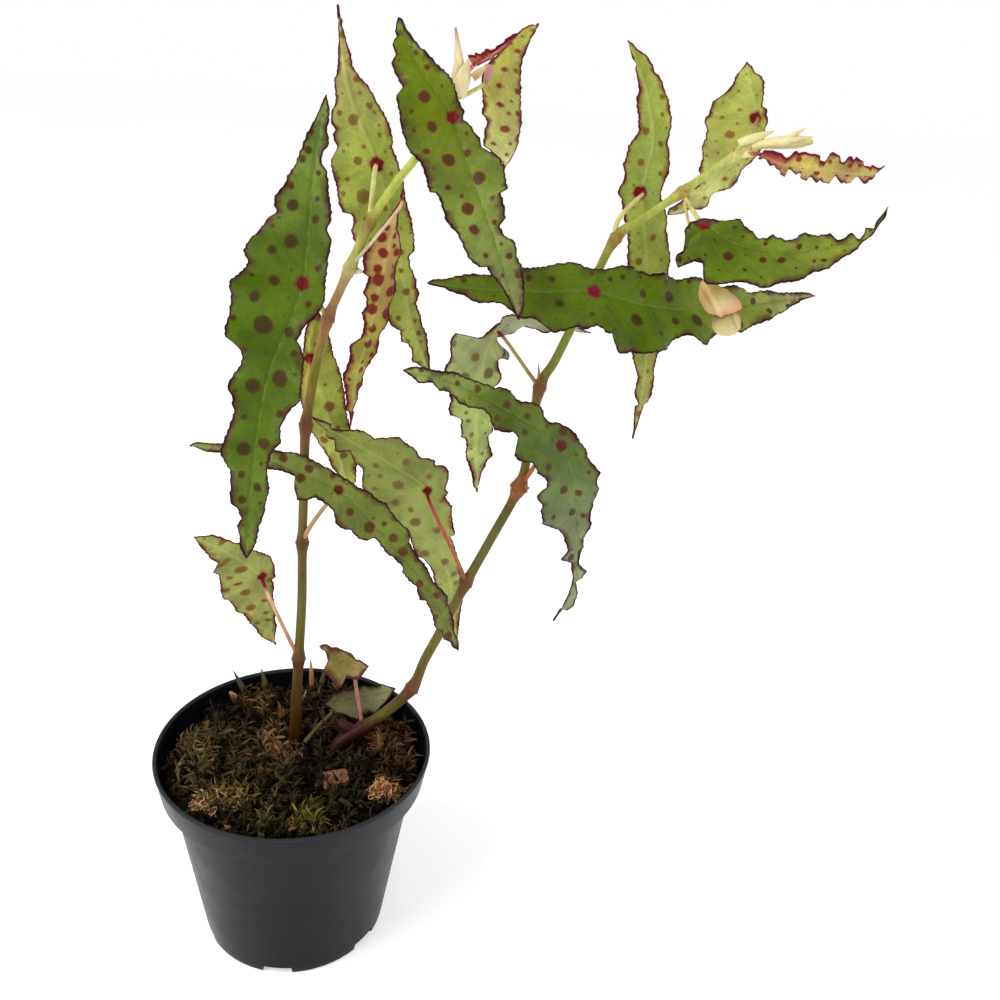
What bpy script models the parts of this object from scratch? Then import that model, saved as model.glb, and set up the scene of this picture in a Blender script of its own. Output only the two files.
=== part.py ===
"""A begonia with two canes and narrow, spotted leaves, in a black nursery pot.

Metres, +Z up. The origin is the middle of the pot's flat base. The plant's best side
faces -Y. Each leaf is a thin blade that its stalk carries near the middle of its rib.
"""

import math

import bmesh
import bpy
import numpy as np
from mathutils import Vector, noise

MM = 0.001
GAP = 0.3 * MM

POT_HEIGHT = 94 * MM
POT_RIM_RADIUS = 60 * MM
POT_COLLAR_RADIUS = 57.5 * MM
POT_COLLAR_DEPTH = 14 * MM
POT_BODY_RADIUS = 53.1 * MM
POT_BASE_RADIUS = 41 * MM
POT_WALL = 1.4 * MM
POT_FLOOR = 1.6 * MM
POT_LIP = 1.5 * MM
POT_SEGMENTS = 48
DRAIN_COUNT = 6
DRAIN_FIRST_DEG = -102
DRAIN_WIDTH = 13 * MM
DRAIN_HEIGHT = 4 * MM
DRAIN_INNER_RADIUS = 33 * MM

SOIL_LEVEL = 84 * MM
SOIL_RELIEF = 1.6 * MM
SOIL_RINGS = 9
SOIL_SEGMENTS = 32
HOLE_TOP = 91 * MM
HOLE_RINGS = 6

BLADE_THICKNESS = 0.75 * MM
STATION_STEP = 6
LOBE_DEPTH = 0.1
RAGGED_DEPTH = 0.05
TIP_HALF_WIDTH = 0.5 * MM
STALK_RADIUS = 0.95 * MM
STALK_SIDES = 6
STALK_RINGS = 9
CANE_SIDES = 8
CANE_RING_STEP = 6 * MM
NODE_SWELLING = 0.9 * MM
NODE_LENGTH = 3.6 * MM
STIPULE_LENGTH = 7 * MM
STIPULE_RADIUS = 1.2 * MM

# Cane routes: x, y, z and radius in mm, from the buried end up to the growing tip.
CANE_LEFT = (
    (-1.8, 14, 60, 2.6),
    (-0.4, 12, 84, 2.6),
    (0.8, 11, 108, 2.4),
    (2, 10, 132, 2.1),
    (3.5, 10, 161, 2.0),
    (3.8, 9, 189, 1.9),
    (4.6, 8, 218, 1.9),
    (5.4, 8, 241, 1.9),
    (9, 7, 264, 1.8),
    (13.6, 6, 284, 1.7),
    (17.8, 5, 295, 1.7),
    (21.4, 5, 303.5, 1.7),
    (28, 4, 320, 1.6),
    (37, 3, 334.5, 1.5),
    (43, 2, 342.5, 1.4),
    (50.4, 1, 354, 1.3),
    (57.6, 0, 366, 1.2),
)
CANE_RIGHT = (
    (9, 0, 60, 3.0),
    (13.6, 2, 75, 3.0),
    (17.6, 4, 86.5, 2.9),
    (22.6, 5, 91.6, 2.8),
    (30, 7, 95, 2.7),
    (40.7, 8, 102.6, 2.5),
    (52, 8, 115, 2.4),
    (57.3, 8, 130, 2.2),
    (63.4, 8, 144, 2.2),
    (73.3, 7, 169, 2.1),
    (82.2, 6, 190, 2.0),
    (92.5, 5, 215, 2.0),
    (95, 5, 232, 1.9),
    (97, 4, 259, 1.9),
    (102.5, 4, 271, 1.8),
    (111.4, 3, 295, 1.7),
    (120.5, 2, 319, 1.6),
    (132.7, 2, 328.5, 1.5),
    (143.8, 1, 337, 1.5),
    (153.6, 1, 345, 1.3),
    (162, 0, 351.2, 1.2),
    (167.4, 0, 354, 1.1),
)
# The swollen joints, each with its stipule's direction.
JOINTS_LEFT = (
    ((2, 10, 132), (-0.5, -0.6, 0.8)),
    ((3.8, 9, 189), (0.5, -0.6, 0.8)),
    ((5.4, 8, 241), (-0.5, -0.5, 0.8)),
    ((13.6, 6, 284), (-0.2, -0.9, 0.5)),
    ((21.4, 5, 303.5), (0.7, -0.6, -0.4)),
    ((28, 4, 320), (-0.7, -0.4, 0.7)),
    ((50.4, 1, 354), (-0.6, 0.3, 0.8)),
)
JOINTS_RIGHT = (
    ((30, 7, 95), (-0.4, -0.5, 0.8)),
    ((52, 8, 115), (0.6, -0.5, 0.5)),
    ((73.3, 7, 169), (-0.5, -0.5, 0.9)),
    ((92.5, 5, 215), (0.5, -0.8, 0.4)),
    ((97, 4, 259), (-0.3, -0.3, 0.9)),
    ((111.4, 3, 295), (0.6, 0.6, 0.6)),
    ((120.5, 2, 319), (0.5, -0.6, 0.8)),
    ((143.8, 1, 337), (-0.4, -0.3, 0.9)),
    ((162, 0, 351.2), (-0.5, -0.2, 0.9)),
)
OLD_STUB = ((27, 7, 94, 2.3), (19.5, 10, 96.5, 2.2))

# One entry for each leaf, in mm. A row is a place on the rib, x, y, z, and the blade's
# half-width to its left and right there, seen along the rib from above the upper face.
# "stalk" is the row that the stalk carries, "faces" is the way the upper face looks at
# the first tip, at the stalk and at the last tip, "fold" is how far both halves rise
# from the rib in degrees, and "waves" and "ripple" are the margin's count and height.
LEAVES = {
    "leaf_left_hanging": {
        "rows": (
            (12.5, 3, 362, 0, 0), (8, -8, 338.5, 5.5, 7.5), (4, -14, 300.5, 9, 23),
            (-8, -19, 269, 13, 14), (-14, -23, 235, 6, 9), (-17, -28, 201.5, 0, 0),
        ),
        "stalk": 2, "faces": ((-0.25, -1, 0.05), (-0.25, -1, 0.1), (-0.2, -1, 0)),
        "fold": 12, "waves": 9, "ripple": 2.4, "grows": (13.6, 6, 284), "leaves": (-0.5, 0.1, 0.8),
    },
    "leaf_left_top": {
        "rows": (
            (35.5, -2, 387.5, 0, 0), (41, -8, 375, 4.5, 8.5), (48, -11, 366, 6, 15),
            (53.5, -14, 358.5, 4.5, 20), (59, -21, 343.5, 11, 17), (64, -29, 329.5, 7, 14),
            (69, -36, 316, 5.5, 8), (75.5, -42, 297.5, 0, 0),
        ),
        "stalk": 3, "faces": ((-0.3, -1, 0.4), (-0.2, -1, 0.45), (0, -1, 0.5)),
        "fold": 12, "waves": 8, "ripple": 2, "grows": (50.4, 1, 354), "leaves": (0.2, -0.5, 0.6),
    },
    "leaf_left_tall": {
        "rows": (
            (17.5, 38, 391, 0, 0), (19, 33, 374.5, 2, 3), (23, 27, 358, 6.5, 9),
            (31.5, 21, 338.5, 16.5, 8), (37, 19, 321, 16.5, 8), (42, 17, 301, 13, 4.5),
            (46.5, 17, 280, 8, 5), (56, 19, 256.5, 0, 0),
        ),
        "stalk": 3, "faces": ((-0.1, 1, 0.2), (0, 1, 0.25), (0.1, 1, 0.1)),
        "fold": 8, "waves": 9, "ripple": 2, "grows": (28, 4, 320), "leaves": (0.1, 0.2, 1),
    },
    "leaf_left_young": {
        "rows": (
            (39.5, -2, 333, 0, 0), (38.5, -2, 329, 1.5, 2), (35.5, 0, 316, 4.5, 5),
            (31.5, 1, 296, 6, 7.5), (28.5, 2, 279, 5.5, 6.5), (24.5, 4, 263, 3.5, 5),
            (22.5, 7, 241, 0, 0),
        ),
        "stalk": 1, "faces": ((-0.3, 1, 0.2), (-0.3, 1, 0.2), (-0.3, 1, 0)),
        "fold": 25, "waves": 7, "ripple": 1.2, "grows": (21.4, 5, 303.5), "leaves": (0.4, -1, 0.5),
    },
    "leaf_left_behind": {
        "rows": (
            (9.5, 19, 284.5, 0, 0), (8, 21, 274, 4.5, 5.5), (7.5, 22, 264, 5, 9),
            (13, 25, 246, 9, 8), (18.5, 29, 224, 7, 6), (25, 34, 199, 0, 0),
        ),
        "stalk": 2, "faces": ((0, 1, 0.2), (0, 1, 0.3), (0.2, 1, 0.1)),
        "fold": 8, "waves": 5, "ripple": 1.4, "grows": (5.4, 8, 241), "leaves": (0, 0.6, 0.8),
    },
    "leaf_left_long": {
        "rows": (
            (-39.5, 14, 230, 0, 0), (-27, 9, 230, 2, 2), (-8.5, 2, 228.5, 4, 3.5),
            (17.5, -6, 219, 6.5, 8.5), (30.5, -10, 207.5, 7, 7.5), (44.5, -14, 191.5, 6.5, 6),
            (55.5, -18, 177, 5, 5), (66.5, -22, 153.5, 0, 0),
        ),
        "stalk": 3, "faces": ((-0.1, -1, 0.6), (0, -1, 0.6), (0.1, -1, 0.45)),
        "fold": 12, "waves": 10, "ripple": 1.4, "grows": (3.8, 9, 189), "leaves": (0.2, -0.4, 0.9),
    },
    "leaf_left_low": {
        "rows": (
            (-37.5, -6, 200, 0, 0), (-25.5, 3, 188, 8.5, 5), (-13, 11, 172, 17, 5),
            (-10.5, 17, 153.5, 12, 3), (-8, 23, 131, 0, 0),
        ),
        "stalk": 2, "faces": ((-0.4, 1, 0.4), (-0.3, 1, 0.35), (-0.1, 1, 0.2)),
        "fold": 10, "waves": 6, "ripple": 1.4, "grows": (2, 10, 132), "leaves": (-0.35, 0, 0.9),
    },
    "leaf_left_tip": {
        "rows": (
            (87, 16, 390, 0, 0), (81, 11, 382.5, 3, 2.5), (74, 8, 371, 6, 6.5),
            (74.5, 7, 360, 7, 7), (76, 9, 351, 6, 6), (78, 13, 340.5, 0, 0),
        ),
        "stalk": 2, "faces": ((0.2, 1, 0.3), (0.1, 1, 0.3), (0, 1, 0.2)),
        "fold": 15, "waves": 4, "ripple": 1, "grows": (56.6, 0.3, 364), "leaves": (0.9, 0.1, 0.3),
    },
    "leaf_left_bud": {
        "rows": ((62, 2, 374.5, 1, 3), (65.8, 3, 377, 3, 7), (71.4, 3, 381, 3, 7), (78.2, 4, 386.5, 0, 0)),
        "stalk": 0, "faces": ((-0.2, -0.7, 0.7), (-0.2, -0.7, 0.7), (-0.2, -0.7, 0.7)),
        "fold": 45, "waves": 3, "ripple": 0.5, "grows": (56.6, 0.2, 364.4), "leaves": (0.7, 0.7, 0.5),
    },
    "leaf_right_stalked": {
        "rows": (
            (7.5, 18, 241, 0, 0), (26, 15, 230, 7.5, 6), (41.5, 15, 220.5, 16, 10),
            (55.5, 17, 208.5, 19, 11), (61.5, 19, 186.5, 13, 7.5), (68.5, 23, 161, 8, 5),
            (75, 29, 127, 0, 0),
        ),
        "stalk": 3, "faces": ((-0.2, 1, 0.45), (-0.1, 1, 0.4), (0.2, 1, 0.1)),
        "fold": 9, "waves": 8, "ripple": 1.8, "grows": (73.3, 7, 169), "leaves": (-0.3, -0.1, 0.9),
    },
    "leaf_right_curved": {
        "rows": (
            (38.5, -28, 275, 0, 0), (56, -24, 269.5, 4, 4.5), (78, -20, 258, 7, 9),
            (102, -17, 242, 8, 16), (110.5, -18, 219.5, 8.5, 17), (113.5, -19, 195.5, 3.5, 7.5),
            (114.5, -17, 179, 2, 2.5), (108.5, -12, 160, 0, 0),
        ),
        "stalk": 3, "faces": ((-0.1, -1, 0.7), (0, -1, 0.5), (0, -1, 0.2)),
        "fold": 12, "waves": 9, "ripple": 1.8, "grows": (92.5, 5, 215), "leaves": (0.4, -0.3, 0.8),
    },
    "leaf_right_bent": {
        "rows": (
            (122.5, 26, 276, 0, 0), (101, 15, 282.5, 7, 7), (86, 5, 286, 11, 12),
            (76.5, -2, 283, 15, 13), (72, -4, 271.5, 19, 13), (71.5, -2, 246.5, 10, 9.5),
            (75, 6, 212.5, 0, 0),
        ),
        "stalk": 3, "faces": ((0, -0.2, 1), (-0.5, 0.4, 0.7), (-0.3, 1, 0.1)),
        "fold": 6, "waves": 7, "ripple": 1.6, "grows": (97, 4, 259), "leaves": (-0.4, -0.2, 0.8),
    },
    "leaf_right_level": {
        "rows": (
            (47.5, -14, 303, 0, 0), (67, -15, 301.5, 4.5, 5.5), (89, -16, 301.5, 9.5, 11),
            (109, -15, 302, 9.5, 13), (131.5, -10, 296.5, 13.5, 19.5), (157.5, -2, 293.5, 11, 13),
            (186, 8, 294.5, 5, 7.5), (216.5, 18, 296.5, 0, 0),
        ),
        "stalk": 3, "faces": ((-0.1, -1, 0.7), (0, -1, 0.7), (0.1, -1, 0.6)),
        "fold": 10, "waves": 9, "ripple": 1.8, "grows": (111.4, 3, 295), "leaves": (-0.1, -0.7, 0.5),
    },
    "leaf_right_tall": {
        "rows": (
            (125.5, 32, 387.5, 0, 0), (132.5, 25, 371, 2.5, 7), (136, 19, 353.5, 8.5, 7),
            (133, 15, 334.5, 10, 8.5), (137.5, 15, 313, 6, 9.5), (142.5, 17, 288.5, 5.5, 7),
            (146.5, 21, 261, 3.5, 5), (147.5, 27, 228.5, 0, 0),
        ),
        "stalk": 3, "faces": ((0.1, 1, 0.2), (0, 1, 0.2), (0, 1, 0.1)),
        "fold": 8, "waves": 9, "ripple": 1.6, "grows": (120.5, 2, 319), "leaves": (-0.45, 0.2, 1),
    },
    "leaf_right_drooping": {
        "rows": (
            (144.5, -4, 310, 0, 0), (145, -9, 319, 4, 7.5), (148.5, -14.5, 327, 3.5, 18),
            (157, -20, 323, 7.5, 17), (168.5, -25, 321, 5, 14), (180.5, -30, 322.5, 7, 10.5),
            (193.5, -34, 326, 3, 4.5), (201, -37, 330, 2, 2), (205.5, -38, 340.5, 0, 0),
        ),
        "stalk": 2, "faces": ((-0.5, -0.6, 0.8), (-0.1, -1, 0.8), (0.1, -1, 0.7)),
        "fold": 14, "waves": 7, "ripple": 1.4, "grows": (143.8, 1, 337), "leaves": (0.5, -0.3, -0.8),
    },
    "leaf_right_back": {
        "rows": (
            (173, 28, 383.5, 0, 0), (173.5, 21, 374, 11, 5), (175, 16, 364, 18, 5),
            (171.5, 19, 350.5, 16, 7), (164.5, 23, 338.5, 9, 6), (158.5, 28, 330.5, 4, 4),
            (151, 32, 324.5, 0, 0),
        ),
        "stalk": 2, "faces": ((0.2, 1, 0.3), (0.1, 1, 0.35), (-0.2, 1, 0.4)),
        "fold": 8, "waves": 5, "ripple": 1.4, "grows": (162, 0, 351.2), "leaves": (0.5, 0.4, 0.7),
    },
    "leaf_right_ruffled": {
        "rows": (
            (173.5, -4, 351.5, 1, 1), (178, -5.5, 350, 4.5, 3), (188, -9, 350, 7, 4.5),
            (201.5, -14, 349, 6.5, 4.5), (208.5, -17, 349.5, 4.5, 3), (213, -18, 352.5, 0, 0),
        ),
        "stalk": 0, "faces": ((0, 0.8, 0.5), (0, 0.8, 0.5), (0, 0.8, 0.5)),
        "fold": 20, "waves": 5, "ripple": 1.6, "grows": (165, 0, 352.8), "leaves": (0.4, -0.6, -0.3),
    },
    "leaf_soil_small": {
        "rows": (
            (11, 16, 134, 0, 0), (19.3, 17, 126, 4, 8), (26.6, 18, 120.5, 4.5, 6), (33.5, 19, 120, 0, 0),
        ),
        "stalk": 2, "faces": ((-0.1, -0.8, 0.7), (-0.1, -0.8, 0.7), (-0.1, -0.8, 0.7)),
        "fold": 12, "waves": 3, "ripple": 0.9, "grows": (30, 7, 95), "leaves": (0, 0.9, 0.6),
    },
    "leaf_soil_low": {
        "rows": (
            (13, 24, 97, 0, 0), (21, 25, 96.5, 5.5, 6), (31, 26, 97.5, 7, 6),
            (41, 26, 100, 6, 5), (47, 27, 102, 0, 0),
        ),
        "stalk": 1, "faces": ((-0.1, -0.6, 0.9), (-0.1, -0.6, 0.9), (-0.1, -0.6, 0.9)),
        "fold": 14, "waves": 4, "ripple": 0.9, "grows": (4.4, 9, 87), "leaves": (0.5, 0.6, 0.5),
    },
}
LOW_STALK_ROOT = ((2.6, 6, 64), (4.4, 9, 87))

# The flower: its thin stalk's route, and two tepals given like leaves.
FLOWER_STALK = (
    (143.9, -2.2, 334), (146.5, -1.6, 325), (150.6, -3, 313), (151.6, -8, 306.5), (152.4, -11.5, 304),
)
FLOWER_STALK_RADIUS = 0.6 * MM
TEPALS = {
    "upper": {
        "rows": (
            (151.5, -10.5, 305, 2.5, 2.5), (159, -17, 301, 7, 6.5), (165, -18.5, 299.5, 5.5, 6),
            (168.5, -18, 299, 0, 0),
        ),
        "stalk": 0, "faces": ((0, -1, 0.6), (0, -1, 0.5), (0, -1, 0.4)),
        "fold": -14, "waves": 1, "ripple": 0.4,
    },
    "lower": {
        "rows": (
            (152.6, -11, 304, 2, 2), (158.5, -15, 297.5, 5.5, 5.5), (163.5, -17.5, 290.5, 5, 5),
            (165.5, -17, 287.5, 0, 0),
        ),
        "stalk": 0, "faces": ((0, -1, 0.5), (0, -1, 0.4), (0, -1, 0.4)),
        "fold": -10, "waves": 1, "ripple": 0.4,
    },
}

# Buds at the growing tips: x, y, z and radius in mm.
BRACT_LEFT = (
    (57.4, -0.6, 366.9, 0.9), (57.2, -1.6, 369, 1.9), (56.8, -1.8, 373, 2.1),
    (56.2, -1.2, 379, 1.2), (54.8, -1, 386, 0.4),
)
BUD_RIGHT = (
    (168, 0, 354.3, 1.1), (172, -0.2, 355.8, 1.8), (178, -0.3, 356.8, 2.5),
    (186, -0.6, 357.6, 2.5), (191.5, -1, 358, 1.0),
)

# Lumps of dry moss and chips of bark on the soil: middle x, y and sizes in mm.
MOSS_CLUMPS = {
    "moss_clump_left": ((-33, -24), (13, 10), 7),
    "moss_clump_right": ((38, -25), (9, 7.5), 6),
}
BARK_CHIPS = {
    "bark_chip_front": ((17, -17), (13, 9, 3), 20, 8),
    "bark_chip_middle": ((-13, 1), (12, 6, 2.4), -35, 6),
    "bark_chip_back": ((22, 36), (10, 7, 2.6), 60, -7),
}

COLOURS = {
    "pot": ((0.034, 0.036, 0.040), 0.48),
    "substrate": ((0.055, 0.038, 0.020), 0.95),
    "cane": ((0.22, 0.17, 0.06), 0.55),
    "leaf": ((0.09, 0.19, 0.03), 0.38),
    "young_leaf": ((0.30, 0.35, 0.08), 0.42),
    "tepal": ((0.80, 0.68, 0.50), 0.5),
    "moss": ((0.45, 0.32, 0.16), 0.9),
    "bark": ((0.35, 0.14, 0.05), 0.85),
}
YOUNG_LEAVES = ("leaf_left_young", "leaf_left_tip", "leaf_left_bud", "leaf_right_ruffled", "leaf_soil_small")


def clear_scene():
    for obj in list(bpy.data.objects):
        bpy.data.objects.remove(obj, do_unlink=True)


def material(name):
    """The named Principled material, made on its first use."""
    found = bpy.data.materials.get(name)
    if found:
        return found
    colour, roughness = COLOURS[name]
    made = bpy.data.materials.new(name)
    made.use_nodes = True
    shader = made.node_tree.nodes["Principled BSDF"]
    shader.inputs["Base Color"].default_value = (*colour, 1)
    shader.inputs["Roughness"].default_value = roughness
    shader.inputs["Metallic"].default_value = 0
    made.diffuse_color = (*colour, 1)
    return made


def mesh_object(name, points, faces, colour):
    mesh = bpy.data.meshes.new(name)
    mesh.from_pydata([tuple(map(float, point)) for point in points], [], faces)
    mesh.validate()
    obj = bpy.data.objects.new(name, mesh)
    bpy.context.scene.collection.objects.link(obj)
    mesh.materials.append(material(colour))
    mesh.shade_smooth()
    mesh.set_sharp_from_angle(angle=math.radians(50))
    return obj


def unit(vector):
    return vector / np.linalg.norm(vector)


def smooth_curve(rows, stations, exact=0):
    """Catmull-Rom curve through the rows, read at nearly even steps, one of them on the exact row.

    It returns the curve and the number of the station on that row.
    """
    rows = np.array(rows, float)
    rows = np.vstack([2 * rows[0] - rows[1], rows, 2 * rows[-1] - rows[-2]])
    dense = []
    marks = []
    for first in range(len(rows) - 3):
        a, b, c, d = rows[first : first + 4]
        for share in np.linspace(0, 1, 24, endpoint=False):
            cubic = (-a + 3 * b - 3 * c + d) * share**3 + (2 * a - 5 * b + 4 * c - d) * share**2
            dense.append(0.5 * (cubic + (c - a) * share + 2 * b))
        marks.append(len(dense) - 24)
    dense.append(rows[-2])
    marks.append(len(dense) - 1)
    dense = np.array(dense)
    length = np.concatenate([[0], np.cumsum(np.linalg.norm(np.diff(dense[:, :3], axis=0), axis=1))])
    middle = length[marks[exact]]
    before = round((stations - 1) * middle / length[-1])
    steps = np.linspace(middle, length[-1], stations - before)
    if before:
        steps = np.concatenate([np.linspace(0, middle, before, endpoint=False), steps])
    curve = np.column_stack([np.interp(steps, length, column) for column in dense.T])
    return curve, before


def tube(name, rows, sides, colour):
    """A closed round tube through rows of x, y, z and radius, in metres."""
    rows = np.array(rows, float)
    centre = rows[:, :3]
    ahead = np.gradient(centre, axis=0)
    side = unit(np.cross(ahead[0], (0.31, 0.9, 0.22)))
    points = []
    for place, way, radius in zip(centre, ahead, rows[:, 3]):
        way = unit(way)
        side = unit(side - way * (side @ way))
        other = np.cross(way, side)
        for turn in np.arange(sides) * 2 * math.pi / sides:
            points.append(place + radius * (side * math.cos(turn) + other * math.sin(turn)))
    faces = [tuple(reversed(range(sides)))]
    for ring in range(len(rows) - 1):
        for edge in range(sides):
            a = ring * sides + edge
            b = ring * sides + (edge + 1) % sides
            faces.append((a, b, b + sides, a + sides))
    faces.append(tuple(len(rows) * sides - sides + edge for edge in range(sides)))
    return mesh_object(name, points, faces, colour)


def joined(target, extras):
    """Unites the extra closed shapes with the target and removes them."""
    group = bpy.data.collections.new(target.name + "_parts")
    for extra in extras:
        group.objects.link(extra)
    union = target.modifiers.new("join", "BOOLEAN")
    union.operation = "UNION"
    union.operand_type = "COLLECTION"
    union.collection = group
    union.solver = "MANIFOLD"
    graph = bpy.context.evaluated_depsgraph_get()
    whole = bpy.data.meshes.new_from_object(target.evaluated_get(graph))
    target.modifiers.clear()
    target.data = whole
    for extra in extras:
        bpy.data.objects.remove(extra, do_unlink=True)
    bpy.data.collections.remove(group)
    return target


def cut(target, cutters):
    """Takes the cutters' shapes out of the target and removes them."""
    group = bpy.data.collections.new(target.name + "_cutters")
    for cutter in cutters:
        group.objects.link(cutter)
        cutter.hide_render = True
        cutter.display_type = "WIRE"
    difference = target.modifiers.new("cut", "BOOLEAN")
    difference.operation = "DIFFERENCE"
    difference.operand_type = "COLLECTION"
    difference.collection = group
    graph = bpy.context.evaluated_depsgraph_get()
    whole = bpy.data.meshes.new_from_object(target.evaluated_get(graph))
    target.modifiers.clear()
    target.data = whole
    for cutter in cutters:
        bpy.data.objects.remove(cutter, do_unlink=True)
    bpy.data.collections.remove(group)
    return target


def turned(name, profile, segments, colour):
    """A solid of revolution from an open profile whose two ends lie on the axis."""
    shape = bmesh.new()
    verts = [shape.verts.new((radius, 0, height)) for radius, height in profile]
    edges = [shape.edges.new(pair) for pair in zip(verts, verts[1:])]
    bmesh.ops.spin(
        shape, geom=verts + edges, axis=(0, 0, 1), cent=(0, 0, 0),
        angle=2 * math.pi, steps=segments, use_merge=False,
    )
    bmesh.ops.remove_doubles(shape, verts=shape.verts, dist=0.01 * MM)
    bmesh.ops.recalc_face_normals(shape, faces=shape.faces)
    mesh = bpy.data.meshes.new(name)
    shape.to_mesh(mesh)
    shape.free()
    obj = bpy.data.objects.new(name, mesh)
    bpy.context.scene.collection.objects.link(obj)
    mesh.materials.append(material(colour))
    mesh.shade_smooth()
    mesh.set_sharp_from_angle(angle=math.radians(35))
    return obj


def inner_radius(height):
    """The radius of the pot's inside at a height between its floor and its collar."""
    share = height / (POT_HEIGHT - POT_COLLAR_DEPTH)
    return POT_BASE_RADIUS + (POT_BODY_RADIUS - POT_BASE_RADIUS) * share - POT_WALL


def make_pot():
    ledge = POT_HEIGHT - POT_COLLAR_DEPTH
    profile = [
        (0, 0),
        (POT_BASE_RADIUS - 1 * MM, 0),
        (POT_BASE_RADIUS - 0.1 * MM, 0.9 * MM),
        (POT_BODY_RADIUS, ledge),
        (POT_COLLAR_RADIUS, ledge),
        (POT_RIM_RADIUS - 0.4 * MM, POT_HEIGHT - 2.2 * MM),
        (POT_RIM_RADIUS, POT_HEIGHT - 1.2 * MM),
        (POT_RIM_RADIUS - 0.3 * MM, POT_HEIGHT),
        (POT_RIM_RADIUS - POT_LIP, POT_HEIGHT),
        (POT_RIM_RADIUS - POT_LIP - 0.4 * MM, POT_HEIGHT - 1.2 * MM),
        (POT_COLLAR_RADIUS - POT_WALL, ledge + POT_WALL),
        (inner_radius(ledge), ledge + POT_WALL),
        (inner_radius(POT_FLOOR), POT_FLOOR),
        (0, POT_FLOOR),
    ]
    pot = turned("pot", profile, POT_SEGMENTS, "pot")
    reach = POT_BASE_RADIUS + 6 * MM
    cutters = []
    for number in range(DRAIN_COUNT):
        turn = math.radians(DRAIN_FIRST_DEG + 360 / DRAIN_COUNT * number)
        middle = (reach + DRAIN_INNER_RADIUS) / 2
        bpy.ops.mesh.primitive_cube_add(
            size=1, location=(middle * math.cos(turn), middle * math.sin(turn), 0), rotation=(0, 0, turn)
        )
        cutter = bpy.context.object
        cutter.scale = (reach - DRAIN_INNER_RADIUS, DRAIN_WIDTH, 2 * DRAIN_HEIGHT)
        cutters.append(cutter)
    bpy.context.view_layer.update()
    return cut(pot, cutters)


def soil_height(x, y):
    """The lumpy top of the soil, which settles towards the wall."""
    lumps = noise.noise(Vector((x, y, 0)) / (11 * MM)) + 0.5 * noise.noise(Vector((y, x, MM)) / (5 * MM))
    return SOIL_LEVEL + SOIL_RELIEF * max(-0.9, min(1.2, lumps))


def make_substrate():
    ledge = POT_HEIGHT - POT_COLLAR_DEPTH + POT_WALL
    top_radius = POT_COLLAR_RADIUS - POT_WALL - GAP
    points = [(0, 0, soil_height(0, 0))]
    turns = np.arange(SOIL_SEGMENTS) * 2 * math.pi / SOIL_SEGMENTS
    for ring in range(1, SOIL_RINGS + 1):
        for turn in turns:
            x = top_radius * ring / SOIL_RINGS * math.cos(turn)
            y = top_radius * ring / SOIL_RINGS * math.sin(turn)
            points.append((x, y, soil_height(x, y)))
    lower = [
        (top_radius, ledge + GAP),
        (inner_radius(ledge) - GAP, ledge + GAP),
        (inner_radius(POT_FLOOR) - 2 * GAP, POT_FLOOR + GAP),
    ]
    for radius, height in lower:
        points += [(radius * math.cos(turn), radius * math.sin(turn), height) for turn in turns]
    points.append((0, 0, POT_FLOOR + GAP))
    faces = []
    for edge in range(SOIL_SEGMENTS):
        beside = (edge + 1) % SOIL_SEGMENTS
        faces.append((0, 1 + edge, 1 + beside))
        for ring in range(SOIL_RINGS + len(lower) - 1):
            a = 1 + ring * SOIL_SEGMENTS + edge
            b = 1 + ring * SOIL_SEGMENTS + beside
            faces.append((a, a + SOIL_SEGMENTS, b + SOIL_SEGMENTS, b))
        last = 1 + (SOIL_RINGS + len(lower) - 1) * SOIL_SEGMENTS
        faces.append((last + edge, len(points) - 1, last + beside))
    soil = mesh_object("substrate", points, faces, "substrate")
    holes = []
    for number, rows in enumerate((CANE_LEFT, CANE_RIGHT, low_stalk_route())):
        curve, _ = smooth_curve(np.array(rows) * MM, 400)
        below = curve[curve[:, 2] < HOLE_TOP]
        buried = below[np.linspace(0, len(below) - 1, HOLE_RINGS).astype(int)]
        start = buried[0] - (buried[1] - buried[0]) * 0.2
        buried = np.vstack([start, buried])
        buried[:, 3] += GAP + 0.1 * MM
        holes.append(tube(f"hole_{number}", buried, CANE_SIDES, "substrate"))
    return cut(soil, holes)


def leaf_frame(leaf):
    """The rib's stations in metres, half-widths, directions ahead, up and left, and the stalk's station."""
    rows = np.array(leaf["rows"], float)
    length = np.linalg.norm(np.diff(rows[:, :3], axis=0), axis=1).sum()
    stations = max(9, min(27, int(length / STATION_STEP)))
    curve, stalk = smooth_curve(rows * MM, stations, leaf["stalk"])
    rib = curve[:, :3]
    widths = np.maximum(curve[:, 3:], TIP_HALF_WIDTH)
    ahead = np.gradient(rib, axis=0)
    ahead /= np.linalg.norm(ahead, axis=1)[:, None]
    marks = (-1e-6, stalk, stations - 1)
    faces = np.array(leaf["faces"], float)
    up = np.column_stack([np.interp(np.arange(stations), marks, column) for column in faces.T])
    up -= ahead * (up * ahead).sum(axis=1)[:, None]
    up /= np.linalg.norm(up, axis=1)[:, None]
    left = np.cross(up, ahead)
    return rib, widths, ahead, up, left, stalk


def stalk_seat(leaf):
    """The place where a leaf's stalk ends, just clear of the blade, and the stalk's direction there."""
    rib, _, ahead, up, _, stalk = leaf_frame(leaf)
    if stalk == 0:
        return rib[0] - ahead[0] * GAP, ahead[0]
    return rib[stalk] - up[stalk] * (BLADE_THICKNESS / 2 + GAP), up[stalk]


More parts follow.
